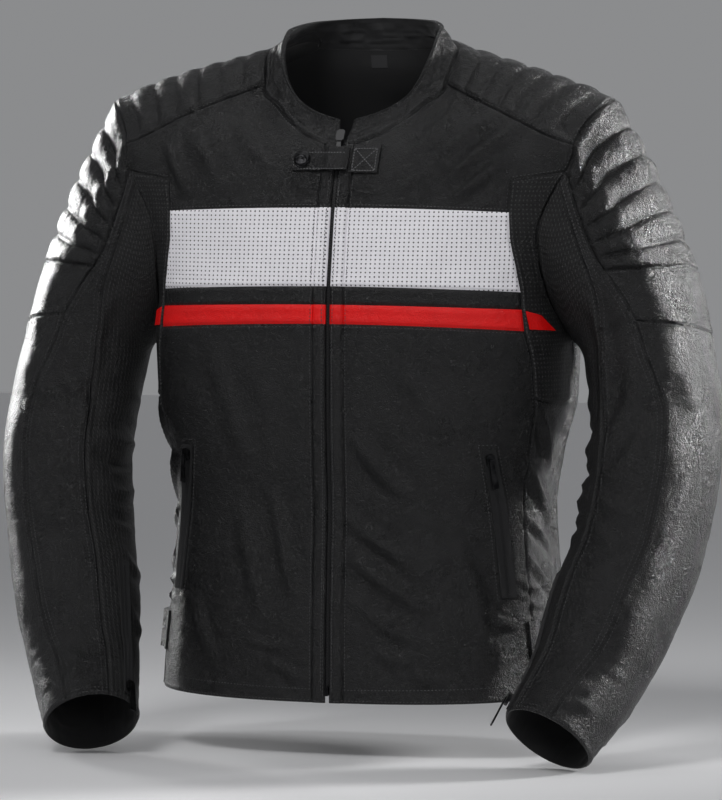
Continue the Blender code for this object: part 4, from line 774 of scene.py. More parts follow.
def nearest_on(points, line):
    """How far each point is from a line of points, and at what share of the line it is nearest."""
    best, share = np.full(len(points), np.inf), np.zeros(len(points))
    run = way_along(line)
    for k, (a, b) in enumerate(zip(line, line[1:])):
        d = b - a
        t = np.clip(((points - a) @ d) / (d @ d), 0, 1)
        gap = np.linalg.norm(points - a - t[:, None] * d, axis=1)
        closer = gap < best
        best[closer] = gap[closer]
        share[closer] = ((run[k] + t * (run[k + 1] - run[k])) / run[-1])[closer]
    return best, share


def fold_lift(points, folds):
    """How far the folds push each point outwards: a ridge with a soft trough on each side."""
    lift = np.zeros(len(points))
    for line, height, width in folds:
        reach = 4.5 * width
        low, high = line.min(axis=0) - reach, line.max(axis=0) + reach
        near = np.flatnonzero(((points > low) & (points < high)).all(axis=1))
        if not len(near):
            continue
        gap, share = nearest_on(points[near], line)
        taper = np.clip(np.sin(np.pi * np.clip(share, 0, 1)), 0, 1) ** 0.7
        x = gap / width
        lift[near] += height * taper * (bell(x) - 0.32 * bell((x - 1.9) / 0.9))
    return lift


def place_folds(form):
    """The folds' lines on the cloth in space, kept by group and side."""
    folds = {}

    def keep(group, side, line, fold, strength):
        _, height, width = fold
        points = along(line, np.linspace(0, 1, 9))
        folds.setdefault((group, side), []).append((points, height * strength[0], width * strength[1]))

    for table, strength, behind in ((FRONT_FOLDS, FRONT_STRENGTH, False), (BACK_FOLDS, BACK_STRENGTH, True)):
        for fold in table:
            pairs = along(fold[0], np.linspace(0, 1, 5))
            points = body(to_pz(pairs, behind=behind))
            points[:, 0] *= np.sign(pairs[:, 0])
            keep("body", 0 if behind else int(np.sign(pairs[:, 0].mean())), points, fold, strength)
    for fold in SIDE_FOLDS:
        pairs = along(fold[0], np.linspace(0, 1, 5))
        points = body(to_pz(pairs, 1, pairs[:, 0] > 0))
        for side in (1, -1):
            keep("body", side, points * (side, 1, 1), fold, SIDE_STRENGTH)
    for side, own in ((1, LEFT_SLEEVE_FOLDS), (-1, RIGHT_SLEEVE_FOLDS)):
        for fold in own + SLEEVE_FOLDS:
            turns = along(fold[0], np.linspace(0, 1, 7))
            keep("sleeve", side, form(*turns.T) * (side, 1, 1), fold, SLEEVE_STRENGTH)
    return folds


def pocket_line(shares):
    """(x, z) places of the left pocket zip at shares of the way from its top to its foot."""
    return np.array(POCKET_TOP) + np.outer(shares, np.subtract(POCKET_FOOT, POCKET_TOP))


def place_calm(form):
    """Lines that the leather lies flat under, because something is sewn on or behind it, with widths."""
    tall = POCKET_TOP[1] - POCKET_FOOT[1]
    pocket = body(to_pz(pocket_line(np.linspace(-6 / tall, 1 + 4 / tall, 8))))
    tab_y = np.linspace(-58, 26, 8)
    tab = body(to_pz(np.column_stack([tab_y, np.full(8, TAB_Z)]), 1, tab_y > 0))
    strap = body(to_pz(np.column_stack([np.linspace(2, 46, 6), np.full(6, STRAP_Z)])))
    cuff = form(np.full(8, CUFF_ZIP_AT), np.linspace(4.1, 6.0, 8))
    stripe_tip = np.array([(176, -70, -213), (185, -60, -214), (190, -44, -219)], float)
    return {"body": [(pocket, 8), (tab, 21), (strap, 14), (stripe_tip, 13)], "sleeve": [(cuff, 9)]}


def small_wrinkles(cloth, gap):
    """Soft waves and short creases. gap is each point's distance from its piece's seams."""
    points = cloth.points
    inside = np.clip(gap / 7, 0, 1)
    broad_waves = 0.55 * noise(points, (55, 55, 55), 3) * np.clip(gap / 20, 0, 1)
    small_waves = 0.28 * noise(points, (15, 15, 15), 4)
    creases = 0.35 * ridged(points, (26, 26, 13), 6)
    puckers = 0.38 * bell((gap - 6) / 5) * noise(points, (9, 9, 9), 7)
    lift = broad_waves + (small_waves - creases) * inside + puckers
    if "turn" in cloth.values:
        angle, way = cloth.values["turn"].T
        where = np.column_stack([angle * 0.9, way * 86, way * 0])
        forearm = np.clip((way - 2.6) / 1.0, 0, 1) * bell(angle / 75)
        patchy = np.clip(noise(where, (40, 45, 9), 12) + 0.35, 0, 1)
        lift -= 1.15 * (ridged(where, (34, 8.5, 9), 11) - 0.4) * patchy * forearm
        inner_elbow = bell((angle - 140) / 50) * bell((way - 3.0) / 0.9)
        lift -= 0.9 * (ridged(where, (46, 10, 9), 13) - 0.3) * inner_elbow
        cuff = np.clip((way - 5.2) / 0.5, 0, 1)
        lift -= 0.9 * ridged(where, (20, 14, 9), 14) * cuff * inside
    return lift


# ---------------------------------------------------------------- building the cloth

def row_lengths(grid):
    """How far each point lies along its row, in millimetres."""
    step = np.linalg.norm(np.diff(grid, axis=1), axis=2)
    return np.concatenate([np.zeros((len(grid), 1)), np.cumsum(step, axis=1)], axis=1)


def add_body(cloths, sheets, side, tag):
    for name, grids in sheets.items():
        if name == "back":
            cloth = cloths.setdefault(name, Cloth(name, "body"))
        else:
            cloth = cloths[name + tag] = Cloth(name + tag, "body", side)
        for grid in grids:
            points = body(grid)
            way = row_lengths(points)
            if name == "back":
                way = (way - way[:, -1:]) * side
            cloth.add(points, side, uv=np.dstack([way, -points[..., 2]]), pz=grid)


def add_yoke(cloths, arches, side, tag):
    phase = np.broadcast_to(np.append(0, np.concatenate([k + c for k, c in enumerate(YOKE_COLUMN_CUTS)])),
                            arches.shape[:2])
    across = np.linspace(0, 1, arches.shape[0])[:, None] * np.ones(arches.shape[1])
    uv = np.dstack([row_lengths(arches), across * YOKE_SPAN])
    cloth = cloths["yoke" + tag] = Cloth("yoke" + tag, "yoke", side)
    cloth.add(arches[::-1], side, uv=uv[::-1], phase=phase[::-1], across=across[::-1])


def armhole_ring(edges, arches):
    """The armhole's points, forwards from the shoulder line, and the cuts of each of its coarse steps."""
    rim = arches[:, -1]
    middle = sum(len(c) for c in YOKE_CUTS[:YOKE_ROWS])
    upper, gusset, back = (body(edges[k]) for k in ("arm_upper", "arm_gusset", "arm_back"))
    ring = np.vstack([rim[:middle + 1][::-1], upper[1:], gusset[1:], back[::-1][1:],
                      rim[middle:][::-1][1:-1]])
    ring_cuts = ([mirrored(c) for c in YOKE_CUTS[:YOKE_ROWS][::-1]] + TOP_CUTS + ROW_CUTS[:GUSSET_ROWS]
                 + [mirrored(c) for c in ARM_BACK_CUTS[::-1]]
                 + [mirrored(c) for c in YOKE_CUTS[YOKE_ROWS:][::-1]])
    return ring, ring_cuts


def add_sleeve(cloths, plan, side, tag):
    sleeve, turns, (front_seam, inner_seam, back_seam), (cap_row, mid_row, cuff_row), _ = plan
    outer = np.concatenate([np.arange(back_seam, sleeve.shape[1]), np.arange(0, front_seam + 1)])
    way_down = row_lengths(sleeve.transpose(1, 0, 2)).T
    for name, top, bottom, columns in (
            ("sleeve_cap", 0, cap_row, outer), ("sleeve_mid", cap_row, mid_row, outer),
            ("sleeve_outer", mid_row, cuff_row, outer),
            ("sleeve_front", 0, cuff_row, np.arange(front_seam, inner_seam + 1)),
            ("sleeve_inner", 0, cuff_row, np.arange(inner_seam, back_seam + 1))):
        part = sleeve[top:bottom + 1][:, columns]
        part_turns = turns[top:bottom + 1][:, columns].copy()
        part_turns[..., 0] -= np.where(part_turns[..., 0] > BEHIND_FROM, 360, 0)
        uv = np.dstack([row_lengths(part), way_down[top:bottom + 1][:, columns]])
        values = {"turn": part_turns, "uv": uv}
        if name == "sleeve_cap":
            rib_rows = np.append(0, np.concatenate([k + RIB_CUTS for k in range(RIBS)]))
            values["phase"] = np.broadcast_to(rib_rows[:, None], part.shape[:2])
            values["across"] = np.broadcast_to(np.linspace(0, 1, part.shape[1]), part.shape[:2])
        cloth = cloths[name + tag] = Cloth(name + tag, "sleeve", side)
        cloth.add(part[:, ::-1], side, **{key: value[:, ::-1] for key, value in values.items()})


def add_collar(cloths, neck, side):
    run = way_along(neck)
    top = along(COLLAR_TOP, run / run[-1])
    heights = np.concatenate([[0, 0.02, 0.05], np.linspace(0.1, 0.82, 15), np.linspace(0.85, 1.0, 9)])
    away = unit_rows(neck * (1, 1, 0))
    stand = (neck[None] + (top - neck)[None] * heights[:, None, None]
             + away[None] * np.sin(np.pi * heights)[:, None, None])
    height = np.broadcast_to(heights[:, None], stand.shape[:2])
    way = np.broadcast_to(run * side, stand.shape[:2])
    tall = height * np.linalg.norm(top - neck, axis=1)
    cloth = cloths.setdefault("collar", Cloth("collar", "collar"))
    cloth.add(stand[::-1], side, uv=np.dstack([way, -tall])[::-1], height=height[::-1])


def build_cloths():
    """The cut pieces by name, and the left sleeve's form."""
    sheets, edges, shares = plan_body()
    fine_shares = spread(shares[:, None], 0, YOKE_COLUMN_CUTS)[:, 0]
    arches = plan_yoke(body(edges["yoke_front"]), body(edges["yoke_back"]), fine_shares)
    plan = plan_sleeve(*armhole_ring(edges, arches))
    neck = np.vstack([body(edges["neck_front"]), arches[1:-1, 0], body(edges["neck_back"])])
    cloths = {}
    for side, tag in SIDES:
        add_body(cloths, sheets, side, tag)
    for side, tag in SIDES:
        add_yoke(cloths, arches, side, tag)
        add_sleeve(cloths, plan, side, tag)
        add_collar(cloths, neck, side)
    for cloth in cloths.values():
        cloth.close()
    share_normals(list(cloths.values()))
    return cloths, plan[-1]


def puff(phase, across, count):
    """The height of the padded ribs, from 0 in the channels to 1 on the crowns."""
    in_rib = phase % 1
    swell = np.clip((in_rib - CHANNEL) / (1 - 2 * CHANNEL), 0, 1)
    crown = np.sin(np.pi * swell ** 0.92) ** 0.42
    ends = np.clip(np.minimum(across, 1 - across) / 0.10, 0, 1)
    return np.where(phase < count, crown, 0) * np.sin(ends * math.pi / 2) ** 0.8


def pad_ribs(cloth, gap):
    """How far the padding of the ribs stands up, and how far the piece as a whole is drawn in."""
    phase, across = cloth.values["phase"][:, 0], cloth.values["across"][:, 0]
    crown = puff(phase, across, RIBS)
    along_rib = cloth.values["uv"][:, 0 if cloth.base == "sleeve_cap" else 1]
    creases = ridged(np.column_stack([along_rib, phase * 9, across * 0]), (5.0, 30.0, 10.0), 5)
    raised = PUFF[cloth.base] * crown * (1 + 0.16 * noise(cloth.points, (22, 22, 22), 8))
    raised -= RIB_CREASE * creases * crown ** 0.6 * (1.25 - crown)
    if cloth.base != "sleeve_cap":
        return raised, 0.0
    return raised, -CAP_SINK * np.sin(np.pi * across) ** 0.8 * np.clip(gap / 12, 0, 1)


def fold_collar(cloth):
    """The rolled edge of the collar, and the wrinkles below it."""
    height = cloth.values["height"][:, 0]
    where = np.column_stack([cloth.values["uv"][:, 0], height * 55, height * 0])
    amid = np.sin(np.pi * np.clip(height / 0.86, 0, 1)) ** 0.7
    lift = amid * (1.5 * noise(where, (12, 34, 9), 21) - 1.4 * ridged(where, (26, 10, 9), 22))
    return COLLAR_ROLL * np.sin(np.pi * np.clip((height - 0.87) / 0.13, 0, 1)) ** 0.7, lift


def fold_front_edge(cloth):
    """How far the folded front edge stands out, with a dip behind it."""
    x = np.abs(cloth.points[:, 0])
    step = np.sin(np.clip((SLIT_HALF + PLACKET - x) / 1.4, 0, 1) * math.pi / 2)
    roll = np.sin(np.pi * np.clip((x - SLIT_HALF) / PLACKET, 0, 1)) ** 0.7
    raised = PLACKET_RISE * (0.5 * step + 0.9 * roll) - bell((x - SLIT_HALF - PLACKET - 0.4) / 1.1)
    on_front = cloth.values["pz"][:, 0] < 0.4
    return np.where(on_front, raised, 0)


def shape(cloth, folds, calm):
    """Sets how far each point moves: lift bends the whole wall, and raised is padding on the outside."""
    points = cloth.points
    gap = border_distance(cloth)
    own = sum((folds.get((cloth.group, side), []) for side in {cloth.side, 0}), [])
    lift = fold_lift(points, own) + small_wrinkles(cloth, gap)
    raised = SEAM_RIDGE * bell((gap - 3.4) / 1.5) - SEAM_DIP * bell(gap / SEAM_REACH)
    if "phase" in cloth.values:
        more_raised, more_lift = pad_ribs(cloth, gap)
        raised += more_raised
        lift += more_lift
    if cloth.base == "collar":
        more_raised, more_lift = fold_collar(cloth)
        raised += more_raised
        lift += more_lift
    if "pz" in cloth.values and cloth.side:
        raised += fold_front_edge(cloth)
    still = np.ones(len(points))
    for line, width in calm.get(cloth.group, []):
        away, _ = nearest_on(points * (cloth.side or 1, 1, 1), line)
        still = np.minimum(still, np.clip((away - width) / 8, 0, 1))
    cloth.lift, cloth.raised = lift * still, raised


def shell(cloth, outside, inside):
    """The closed wall of a piece: its outside, its inside and its edges."""
    base = cloth.points + cloth.inward * SEAM_GAP / 2
    outer = base + cloth.normals * (cloth.lift + cloth.raised)[:, None]
    inner = base + cloth.normals * (cloth.lift - WALL * cloth.stretch)[:, None]
    cloth.outer = outer
    size = len(base)
    a, b = cloth.border.T
    edge = np.column_stack([b, a, a + size, b + size])
    faces = np.vstack([cloth.faces, cloth.faces[:, ::-1] + size, edge])
    mesh = bpy.data.meshes.new(cloth.name + "_shell")
    mesh.from_pydata((np.vstack([outer, inner]) * MM).tolist(), [], faces.tolist())
    mesh.materials.append(outside)
    mesh.materials.append(inside)
    slots = np.zeros(len(faces), int)
    slots[len(cloth.faces):2 * len(cloth.faces)] = 1
    mesh.polygons.foreach_set("material_index", slots)
    uv = np.vstack([cloth.values["uv"]] * 2) * MM
    layer = mesh.uv_layers.new(name="cut")
    loops = np.zeros(len(mesh.loops), int)
    mesh.loops.foreach_get("vertex_index", loops)
    layer.data.foreach_set("uv", uv[loops].ravel())
    mesh.shade_smooth()
    mesh.set_sharp_from_angle(angle=math.radians(62))
    made = bpy.data.objects.new(cloth.name + "_shell", mesh)
    bpy.context.scene.collection.objects.link(made)
    return made


def make_mesh(name, points, faces, finish):
    """A smooth mesh object from points in millimetres."""
    mesh = bpy.data.meshes.new(name)
    mesh.from_pydata((np.asarray(points) * MM).tolist(), [], np.asarray(faces).tolist())
    mesh.materials.append(finish)
    mesh.shade_smooth()
    mesh.set_sharp_from_angle(angle=math.radians(50))
    made = bpy.data.objects.new(name, mesh)
    bpy.context.scene.collection.objects.link(made)
    return made


# ---------------------------------------------------------------- stitches and zip teeth

def border_lines(cloth):
    """The borders of a piece as closed lines of point numbers."""
    after = {}
    for a, b in cloth.border:
        after.setdefault(int(a), []).append(int(b))
    lines = []
    while after:
        start = next(iter(after))
        line = [start]
        while line[-1] in after:
            options = after[line[-1]]
            line.append(options.pop())
            if not options:
                del after[line[-2]]
            if line[-1] == start:
                break
        lines.append(line)
    return lines


def stitch_rows(places, normals):
    """A row of numbers for each stitch of a line: its centre, direction and normal."""
    return np.hstack([places, unit_rows(np.gradient(places, axis=0)), normals])


def sew(cloth, insets, pitch=3.5):
    """Stitches that run beside the borders of a piece, at the distances insets from them."""
    tree = BVHTree.FromPolygons(cloth.outer.tolist(), cloth.faces.tolist())
    found = []
    for line in border_lines(cloth):
        edge = cloth.points[line]
        turn = np.zeros(len(line))
        step = unit_rows(np.diff(edge, axis=0))
        turn[1:-1] = (step[1:] * step[:-1]).sum(axis=1)
        corners = [0, *(np.flatnonzero(turn[1:-1] < SHARP_TURN) + 1), len(line) - 1]
        for a, b in zip(corners, corners[1:]):
            if b - a < 3:
                continue
            part = line[a:b + 1]
            for inset in insets:
                row = (cloth.points[part] + cloth.inward[part] * inset
                       + cloth.normals[part] * cloth.lift[part][:, None])[1:-1]
                run = way_along(row)
                count = int(run[-1] / pitch)
                if count < 2:
                    continue
                at = (np.arange(count) + 0.5) * run[-1] / count
                centres = at_ways(row, run, at)
                hits = [tree.find_nearest(Vector(c)) for c in centres]
                places = np.array([hit[0] for hit in hits])
                found.append(stitch_rows(places, np.array([hit[1] for hit in hits])))
    return np.vstack(found)


def tree_of(*nodes):
    """A search tree over CAD pieces, in millimetres."""
    points, faces, count = [], [], 0
    for node in nodes:
        made = frame["nodes"][node]
        matrix = np.array(made.matrix_world)
        own = np.array([v.co for v in made.data.vertices]) @ matrix[:3, :3].T + matrix[:3, 3]
        points += (own / MM).tolist()
        faces += [[v + count for v in f.vertices] for f in made.data.polygons]
        count += len(own)
    return BVHTree.FromPolygons(points, faces)


def sew_along(tree, lines, toward, pitch=3.3):
    """Stitches where straight looks in the direction toward, from points along the lines, meet the tree."""
    rows = []
    toward = unit(toward)
    for line in lines:
        line = np.array(line, float)
        run = way_along(line)
        count = max(2, int(run[-1] / pitch))
        at = (np.arange(count) + 0.5) * run[-1] / count
        starts = at_ways(line, run, at)
        hits = [tree.ray_cast(Vector(p), Vector(toward), 200) for p in starts]
        good = [(np.array(h[0]), np.array(h[1])) for h in hits if h[0] is not None]
        if len(good) < 2:
            continue
        places = np.array([g[0] for g in good])
        normals = np.array([g[1] for g in good])
        normals *= -np.sign(normals @ toward)[:, None]
        rows.append(stitch_rows(places, normals))
    return rows


def detail_stitches(cloths):
    """Stitches of the front edges, pockets and hem, and the heavier ones of the strap and its box."""
    points, faces, count = [], [], 0
    for cloth in cloths.values():
        if cloth.group == "body" and cloth.side:
            points.append(cloth.outer)
            faces.append(cloth.faces + count)
            count += len(cloth.outer)
    skin = BVHTree.FromPolygons(np.vstack(points).tolist(), np.vstack(faces).tolist())

    def ahead(pairs, side=1):
        return [(side * x, -FAR, z) for x, z in pairs]

    lines = []
    for side in (1, -1):
        for x in (SLIT_HALF + 3.2, SLIT_HALF + PLACKET + 2.2):
            lines.append(ahead([(x, ZIP_Z), (x, HEM_Z)], side))
        for shift in (-8.0, 8.0):
            lines.append(ahead([(POCKET_TOP[0] + shift, -330), (POCKET_FOOT[0] + shift, -474)], side))
        lines.append(ahead(HEM_SEAM, side))
        for z, x in ((-329.5, 147), (-474.5, 163)):
            lines.append(ahead([(x - 8.5, z), (x + 8.5, z)], side))
    rows = sew_along(skin, lines, INTO)
    heavy = sew_along(tree_of("neck_strap"), [ahead(STRAP_SEAM)], INTO, 2.9)
    left, right, high, low = STRAP_BOX
    box = [[(left, high), (right, high), (right, low), (left, low), (left, high)],
           [(left, high), (right, low)], [(left, low), (right, high)]]
    heavy += sew_along(tree_of("strap_box"), [ahead(line) for line in box], INTO, 2.6)
    return np.vstack(rows), np.vstack(heavy)


def snap_rings(finish):
    """Raised rings on the cap of the snap."""
    hit = tree_of("snap_cap").ray_cast(Vector((SNAP_X, -FAR, STRAP_Z)), Vector(INTO), 300)[0]
    around, section = 40, 8
    points, faces = [], []
    for radius, thick in ((5.9, 0.55), (3.2, 0.35)):
        base = len(points)
        for i in range(around):
            a = math.tau * i / around
            for k in range(section):
                b = math.tau * k / section
                reach = radius + thick * math.cos(b)
                points.append((hit[0] + reach * math.cos(a), hit[1] - 0.1 - thick * math.sin(b),
                               hit[2] + reach * math.sin(a)))
                here, over, up = base + i * section, base + (i + 1) % around * section, (k + 1) % section
                faces.append((here + k, over + k, over + up, here + up))
    return make_mesh("snap_rings", points, faces, finish)


def stitch_mesh(name, rows, finish, length=2.5, thick=0.34):
    """Small rounded stitches at the given places, half sunk in the leather."""
    places, run, normal = rows[:, :3], rows[:, 3:6], rows[:, 6:9]
    across = np.cross(run, normal)
    corners = []
    for way, size, height in ((-0.5, 0.45, -0.22), (0.0, 1.0, 0.10), (0.5, 0.45, -0.22)):
        for k in range(4):
            turn = math.pi / 2 * k
            corners.append(places + run * length * way + across * thick * size * math.cos(turn)
                           + normal * (height + thick * size * math.sin(turn)))
    points = np.stack(corners, axis=1).reshape(-1, 3)
    faces = [(3, 2, 1, 0), (8, 9, 10, 11)]
    for ring in (0, 4):
        faces += [(ring + k, ring + (k + 1) % 4, ring + 4 + (k + 1) % 4, ring + 4 + k) for k in range(4)]
    faces = (np.array(faces)[None] + 12 * np.arange(len(places))[:, None, None]).reshape(-1, 4)
    return make_mesh(name, points, faces, finish)


def zip_teeth(name, line, outward, node, finish, pitch=2.6, half=1.15, stand=0.75):
    """Two interlocked rows of teeth on a CAD tape along a line, found by looking at it from outside."""
    tree = tree_of(node)
    run = way_along(line)
    at = np.arange(pitch / 2, run[-1], pitch / 2)
    centres = at_ways(line, run, at)
    outs = at_ways(outward, run, at)
    ways = np.gradient(centres, axis=0)
    points = []
    for i, (c, out, way) in enumerate(zip(centres, outs, ways)):
        out, way = unit(out), unit(way)
        hit, _, _, _ = tree.ray_cast(Vector(c + out * 15), Vector(-out), 40)
        if hit is None:
            continue
        side = np.cross(way, out) * (1 if i % 2 else -1)
        root = np.array(hit) + side * half * 0.75
        for high, grow in ((-0.3, 1.0), (stand, 0.72)):
            for a, b in ((-1, -1), (1, -1), (1, 1), (-1, 1)):
                points.append(root + out * high + side * a * half * grow + way * b * pitch * 0.2 * grow)
    box = np.array([(0, 3, 2, 1), (4, 5, 6, 7), (0, 1, 5, 4), (1, 2, 6, 5), (2, 3, 7, 6), (3, 0, 4, 7)])
    faces = (box[None] + 8 * np.arange(len(points) // 8)[:, None, None]).reshape(-1, 4)
    made = make_mesh(name, points, faces, finish)
    made.data.shade_flat()
    return made


def all_teeth(form, finish):
    """The teeth of the main zip, the pocket zips and the cuff zips."""
    front = body(np.column_stack([np.zeros(40), np.linspace(ZIP_Z, HEM_Z, 40)]))
    made = [zip_teeth("main_zip_teeth", front, np.tile((0.0, -1.0, 0.0), (40, 1)), "main_zip", finish)]
    pocket_pz = to_pz(pocket_line(np.linspace(0.09, 0.985, 30)))
    pocket = body(pocket_pz)
    pocket_out = np.cross(np.gradient(pocket, axis=0), body(pocket_pz + (0.004, 0)) - pocket)
    pocket_out *= np.sign(-pocket_out[:, 1:2])
    ways = np.linspace(4.2, 5.8, 40)
    cuff = form(np.full(40, CUFF_ZIP_AT), ways)
    cuff_out = cuff - ring_frame(ways)[0][:, :3]
    for side, tag in SIDES:
        for name, line, out in (("pocket_zip", pocket, pocket_out), ("cuff_zip", cuff, cuff_out)):
            made.append(zip_teeth(name + "_teeth" + tag, line * (side, 1, 1), out * (side, 1, 1), name + tag,
                                  finish, pitch=2.2, half=0.95, stand=0.6))
    return made


# ---------------------------------------------------------------- finishes

class Nodes:
    """A short way to write a material's nodes."""

    def __init__(self, name):
        self.material = bpy.data.materials.new(name + "_look")
        self.material.use_nodes = True
        self.tree = self.material.node_tree
        self.shader = self.tree.nodes["Principled BSDF"]
        self.place = self.add("TexCoord").outputs["Object"]

    def add(self, kind, settings=None, **inputs):
        made = self.tree.nodes.new("ShaderNode" + kind)
        for name, value in (settings or {}).items():
            setattr(made, name, value)
        for name, value in inputs.items():
            key = int(name[1:]) if name[0] == "_" else name.replace("_", " ")
            self.put(made.inputs[key], value)
        return made

    def put(self, socket, value):
        if hasattr(value, "links"):
            self.tree.links.new(value, socket)
        else:
            socket.default_value = value

    def math(self, operation, a, b=0.0):
        return self.add("Math", {"operation": operation}, _0=a, _1=b).outputs[0]

    def noise(self, scale, detail=3.0, roughness=0.55, distortion=0.0):
        return self.add("TexNoise", Vector=self.place, Scale=scale, Detail=detail, Roughness=roughness,
                        Distortion=distortion).outputs["Fac"]

    def ramp(self, value, low, high, to_low=0.0, to_high=1.0):
        made = self.add("MapRange", {"clamp": True}, _0=value, _1=low, _2=high, _3=to_low, _4=to_high)
        return made.outputs[0]

    def mix(self, share, a, b):
        """A colour between a, a colour or a socket, and the colour b."""
        first = a if hasattr(a, "links") else (*a, 1)
        return self.add("Mix", {"data_type": "RGBA"}, _0=share, _6=first, _7=(*b, 1)).outputs[2]

    def bump(self, height, distance, strength=1.0, normal=None):
        made = self.add("Bump", Height=height, Distance=distance, Strength=strength)
        if normal is not None:
            self.put(made.inputs["Normal"], normal)
        return made.outputs[0]

    def finish(self, **inputs):
        for name, value in inputs.items():
            self.put(self.shader.inputs[name.replace("_", " ")], value)
        return self.material


def holes(nodes, pitch, radius):
    """A mask that is 1 inside small round holes set out in rows on the cut of the piece."""
    uv = nodes.add("UVMap", {"uv_map": "cut"}).outputs[0]
    parts = nodes.add("SeparateXYZ", Vector=uv)
    squares = []
    for k in (0, 1):
        cell = nodes.math("FRACT", nodes.math("DIVIDE", parts.outputs[k], pitch[k]))
        off_middle = nodes.math("MULTIPLY", nodes.math("SUBTRACT", cell, 0.5), pitch[k])
        squares.append(nodes.math("POWER", off_middle, 2.0))
    far = nodes.math("SQRT", nodes.math("ADD", *squares))
    return nodes.ramp(far, radius * 1.15, radius * 0.75)


def leather(name, dark, light, roughness, grain=1.0, perforated=None, hole_colour=None):
    """Leather with grain, soft creasing and uneven sheen. Colours are linear, and lengths in metres."""
    nodes = Nodes(name)
    blotch = nodes.noise(26.0, 4.0, 0.6)
    fine = nodes.noise(700.0, 2.0, 0.6)
    pores = nodes.add("TexVoronoi", {"feature": "DISTANCE_TO_EDGE"}, Vector=nodes.place, Scale=620.0)
    creases = nodes.noise(95.0, 5.0, 0.62, 1.6)
    colour = nodes.mix(nodes.ramp(blotch, 0.3, 0.7), dark, light)
    rough = nodes.ramp(nodes.math("ADD", blotch, nodes.math("MULTIPLY", fine, 0.35)), 0.45, 0.95,
                       roughness - 0.035, roughness + 0.05)
    pebble = nodes.noise(330.0, 3.0, 0.6, 0.6)
    normal = nodes.bump(creases, 0.0030 * grain, 0.7)
    normal = nodes.bump(pebble, 0.0011 * grain, 0.8, normal)
    normal = nodes.bump(nodes.ramp(pores.outputs[0], 0.0, 0.22), 0.0004 * grain, 0.8, normal)
    normal = nodes.bump(fine, 0.0003 * grain, 0.8, normal)
    if perforated:
        # The holes take hole_colour. On the black perforated leather it is lighter than the lining behind:
        # partly the lining seen through the holes, partly painted glints.
        mask = holes(nodes, *perforated)
        colour = nodes.mix(mask, colour, hole_colour)
        normal = nodes.bump(nodes.math("SUBTRACT", 1.0, mask), 0.0009, 0.9, normal)
    return nodes.finish(Base_Color=colour, Roughness=rough, Normal=normal, Specular_IOR_Level=0.40)


def textile(name, colour, roughness, scale, detail, depth, strength, sheen=0.0):
    """A finish of one colour with a fine uneven surface."""
    nodes = Nodes(name)
    return nodes.finish(Base_Color=(*colour, 1), Roughness=roughness, Sheen_Weight=sheen,
                        Normal=nodes.bump(nodes.noise(scale, detail), depth, strength))


def zip_tape():
    nodes = Nodes("tape")
    weave = nodes.add("TexWave", {"bands_direction": "DIAGONAL"}, Vector=nodes.place, Scale=420.0,
                      Distortion=0.3).outputs["Fac"]
    return nodes.finish(Base_Color=(0.010, 0.010, 0.011, 1), Roughness=0.75,
                        Normal=nodes.bump(weave, 0.0002, 0.6))


def metal():
    nodes = Nodes("metal")
    worn = nodes.noise(160.0, 4.0)
    colour = nodes.mix(nodes.ramp(worn, 0.4, 0.7), (0.012, 0.012, 0.013), (0.045, 0.045, 0.047))
    return nodes.finish(Base_Color=colour, Metallic=1.0, Roughness=nodes.ramp(worn, 0.3, 0.7, 0.34, 0.5),
                        Normal=nodes.bump(worn, 0.0001, 0.3))


def teeth():
    nodes = Nodes("teeth")
    colour = nodes.mix(nodes.noise(300.0, 2.0), (0.008, 0.008, 0.009), (0.02, 0.02, 0.022))
    return nodes.finish(Base_Color=colour, Roughness=0.5)


def floor_paint():
    return Nodes("floor").finish(Base_Color=(0.78, 0.78, 0.79, 1), Roughness=0.9)


def make_finishes():
    """Every finish by its name. Perforated leathers have the holes' pitch across and down, and radius."""
    return {
        "leather_black": leather("leather_black", (0.0025, 0.0025, 0.003), (0.0065, 0.0065, 0.007), 0.285),
        # Its holes are painted light grey: partly the lining seen through them, partly painted glints.
        "leather_perforated": leather("leather_perforated", (0.003, 0.003, 0.0035), (0.006, 0.006, 0.0065),
                                      0.47, 1.0, ((0.0045, 0.0042), 0.0009), (0.05, 0.05, 0.05)),
        "leather_white": leather("leather_white", (0.88, 0.86, 0.90), (0.93, 0.91, 0.95), 0.5, 0.35,
                                 ((0.0045, 0.0040), 0.00075), (0.05, 0.047, 0.055)),
        "leather_red": leather("leather_red", (0.72, 0.0, 0.0), (0.86, 0.0, 0.0), 0.42, 0.5),
        "lining": textile("lining", (0.010, 0.010, 0.011), 0.62, 900.0, 2.0, 0.0002, 0.5, sheen=0.15),
        "zip_tape": zip_tape(),
        "metal_dark": metal(),
        "fabric_label": textile("label", (0.035, 0.035, 0.037), 0.6, 1200.0, 1.0, 0.0001, 0.5),
        "thread": textile("thread", (0.065, 0.065, 0.067), 0.42, 2500.0, 1.0, 0.0001, 0.6),
        "thread_strap": textile("thread_strap", (0.15, 0.15, 0.1545), 0.42, 2500.0, 1.0, 0.0001, 0.6),
        "teeth": teeth(),
        "floor": floor_paint(),
    }


PIECE_FINISH = {"armhole_mesh": "leather_perforated", "sleeve_inner": "leather_perforated",
                "white_band": "leather_white", "red_stripe": "leather_red"}
# The first of these words in a solid's name gives its finish.
SOLID_FINISH = {"slider": "metal_dark", "pull": "metal_dark", "stop": "metal_dark", "snap": "metal_dark",
                "zip": "zip_tape", "tip": "leather_red", "label": "fabric_label"}


# ---------------------------------------------------------------- light, floor and camera

CAMERA_AZIMUTH = 18.5
CAMERA_ELEVATION = 3.0
CAMERA_DISTANCE = 5.0
VIEW_HEIGHT = 0.76            # metres of the object that fill the height of the photograph
AIM = (0.0, 0.0, -0.2945)     # this place lies in the middle of the photograph's height
AIM_SHIFT = 0.00665           # and this far right of its middle


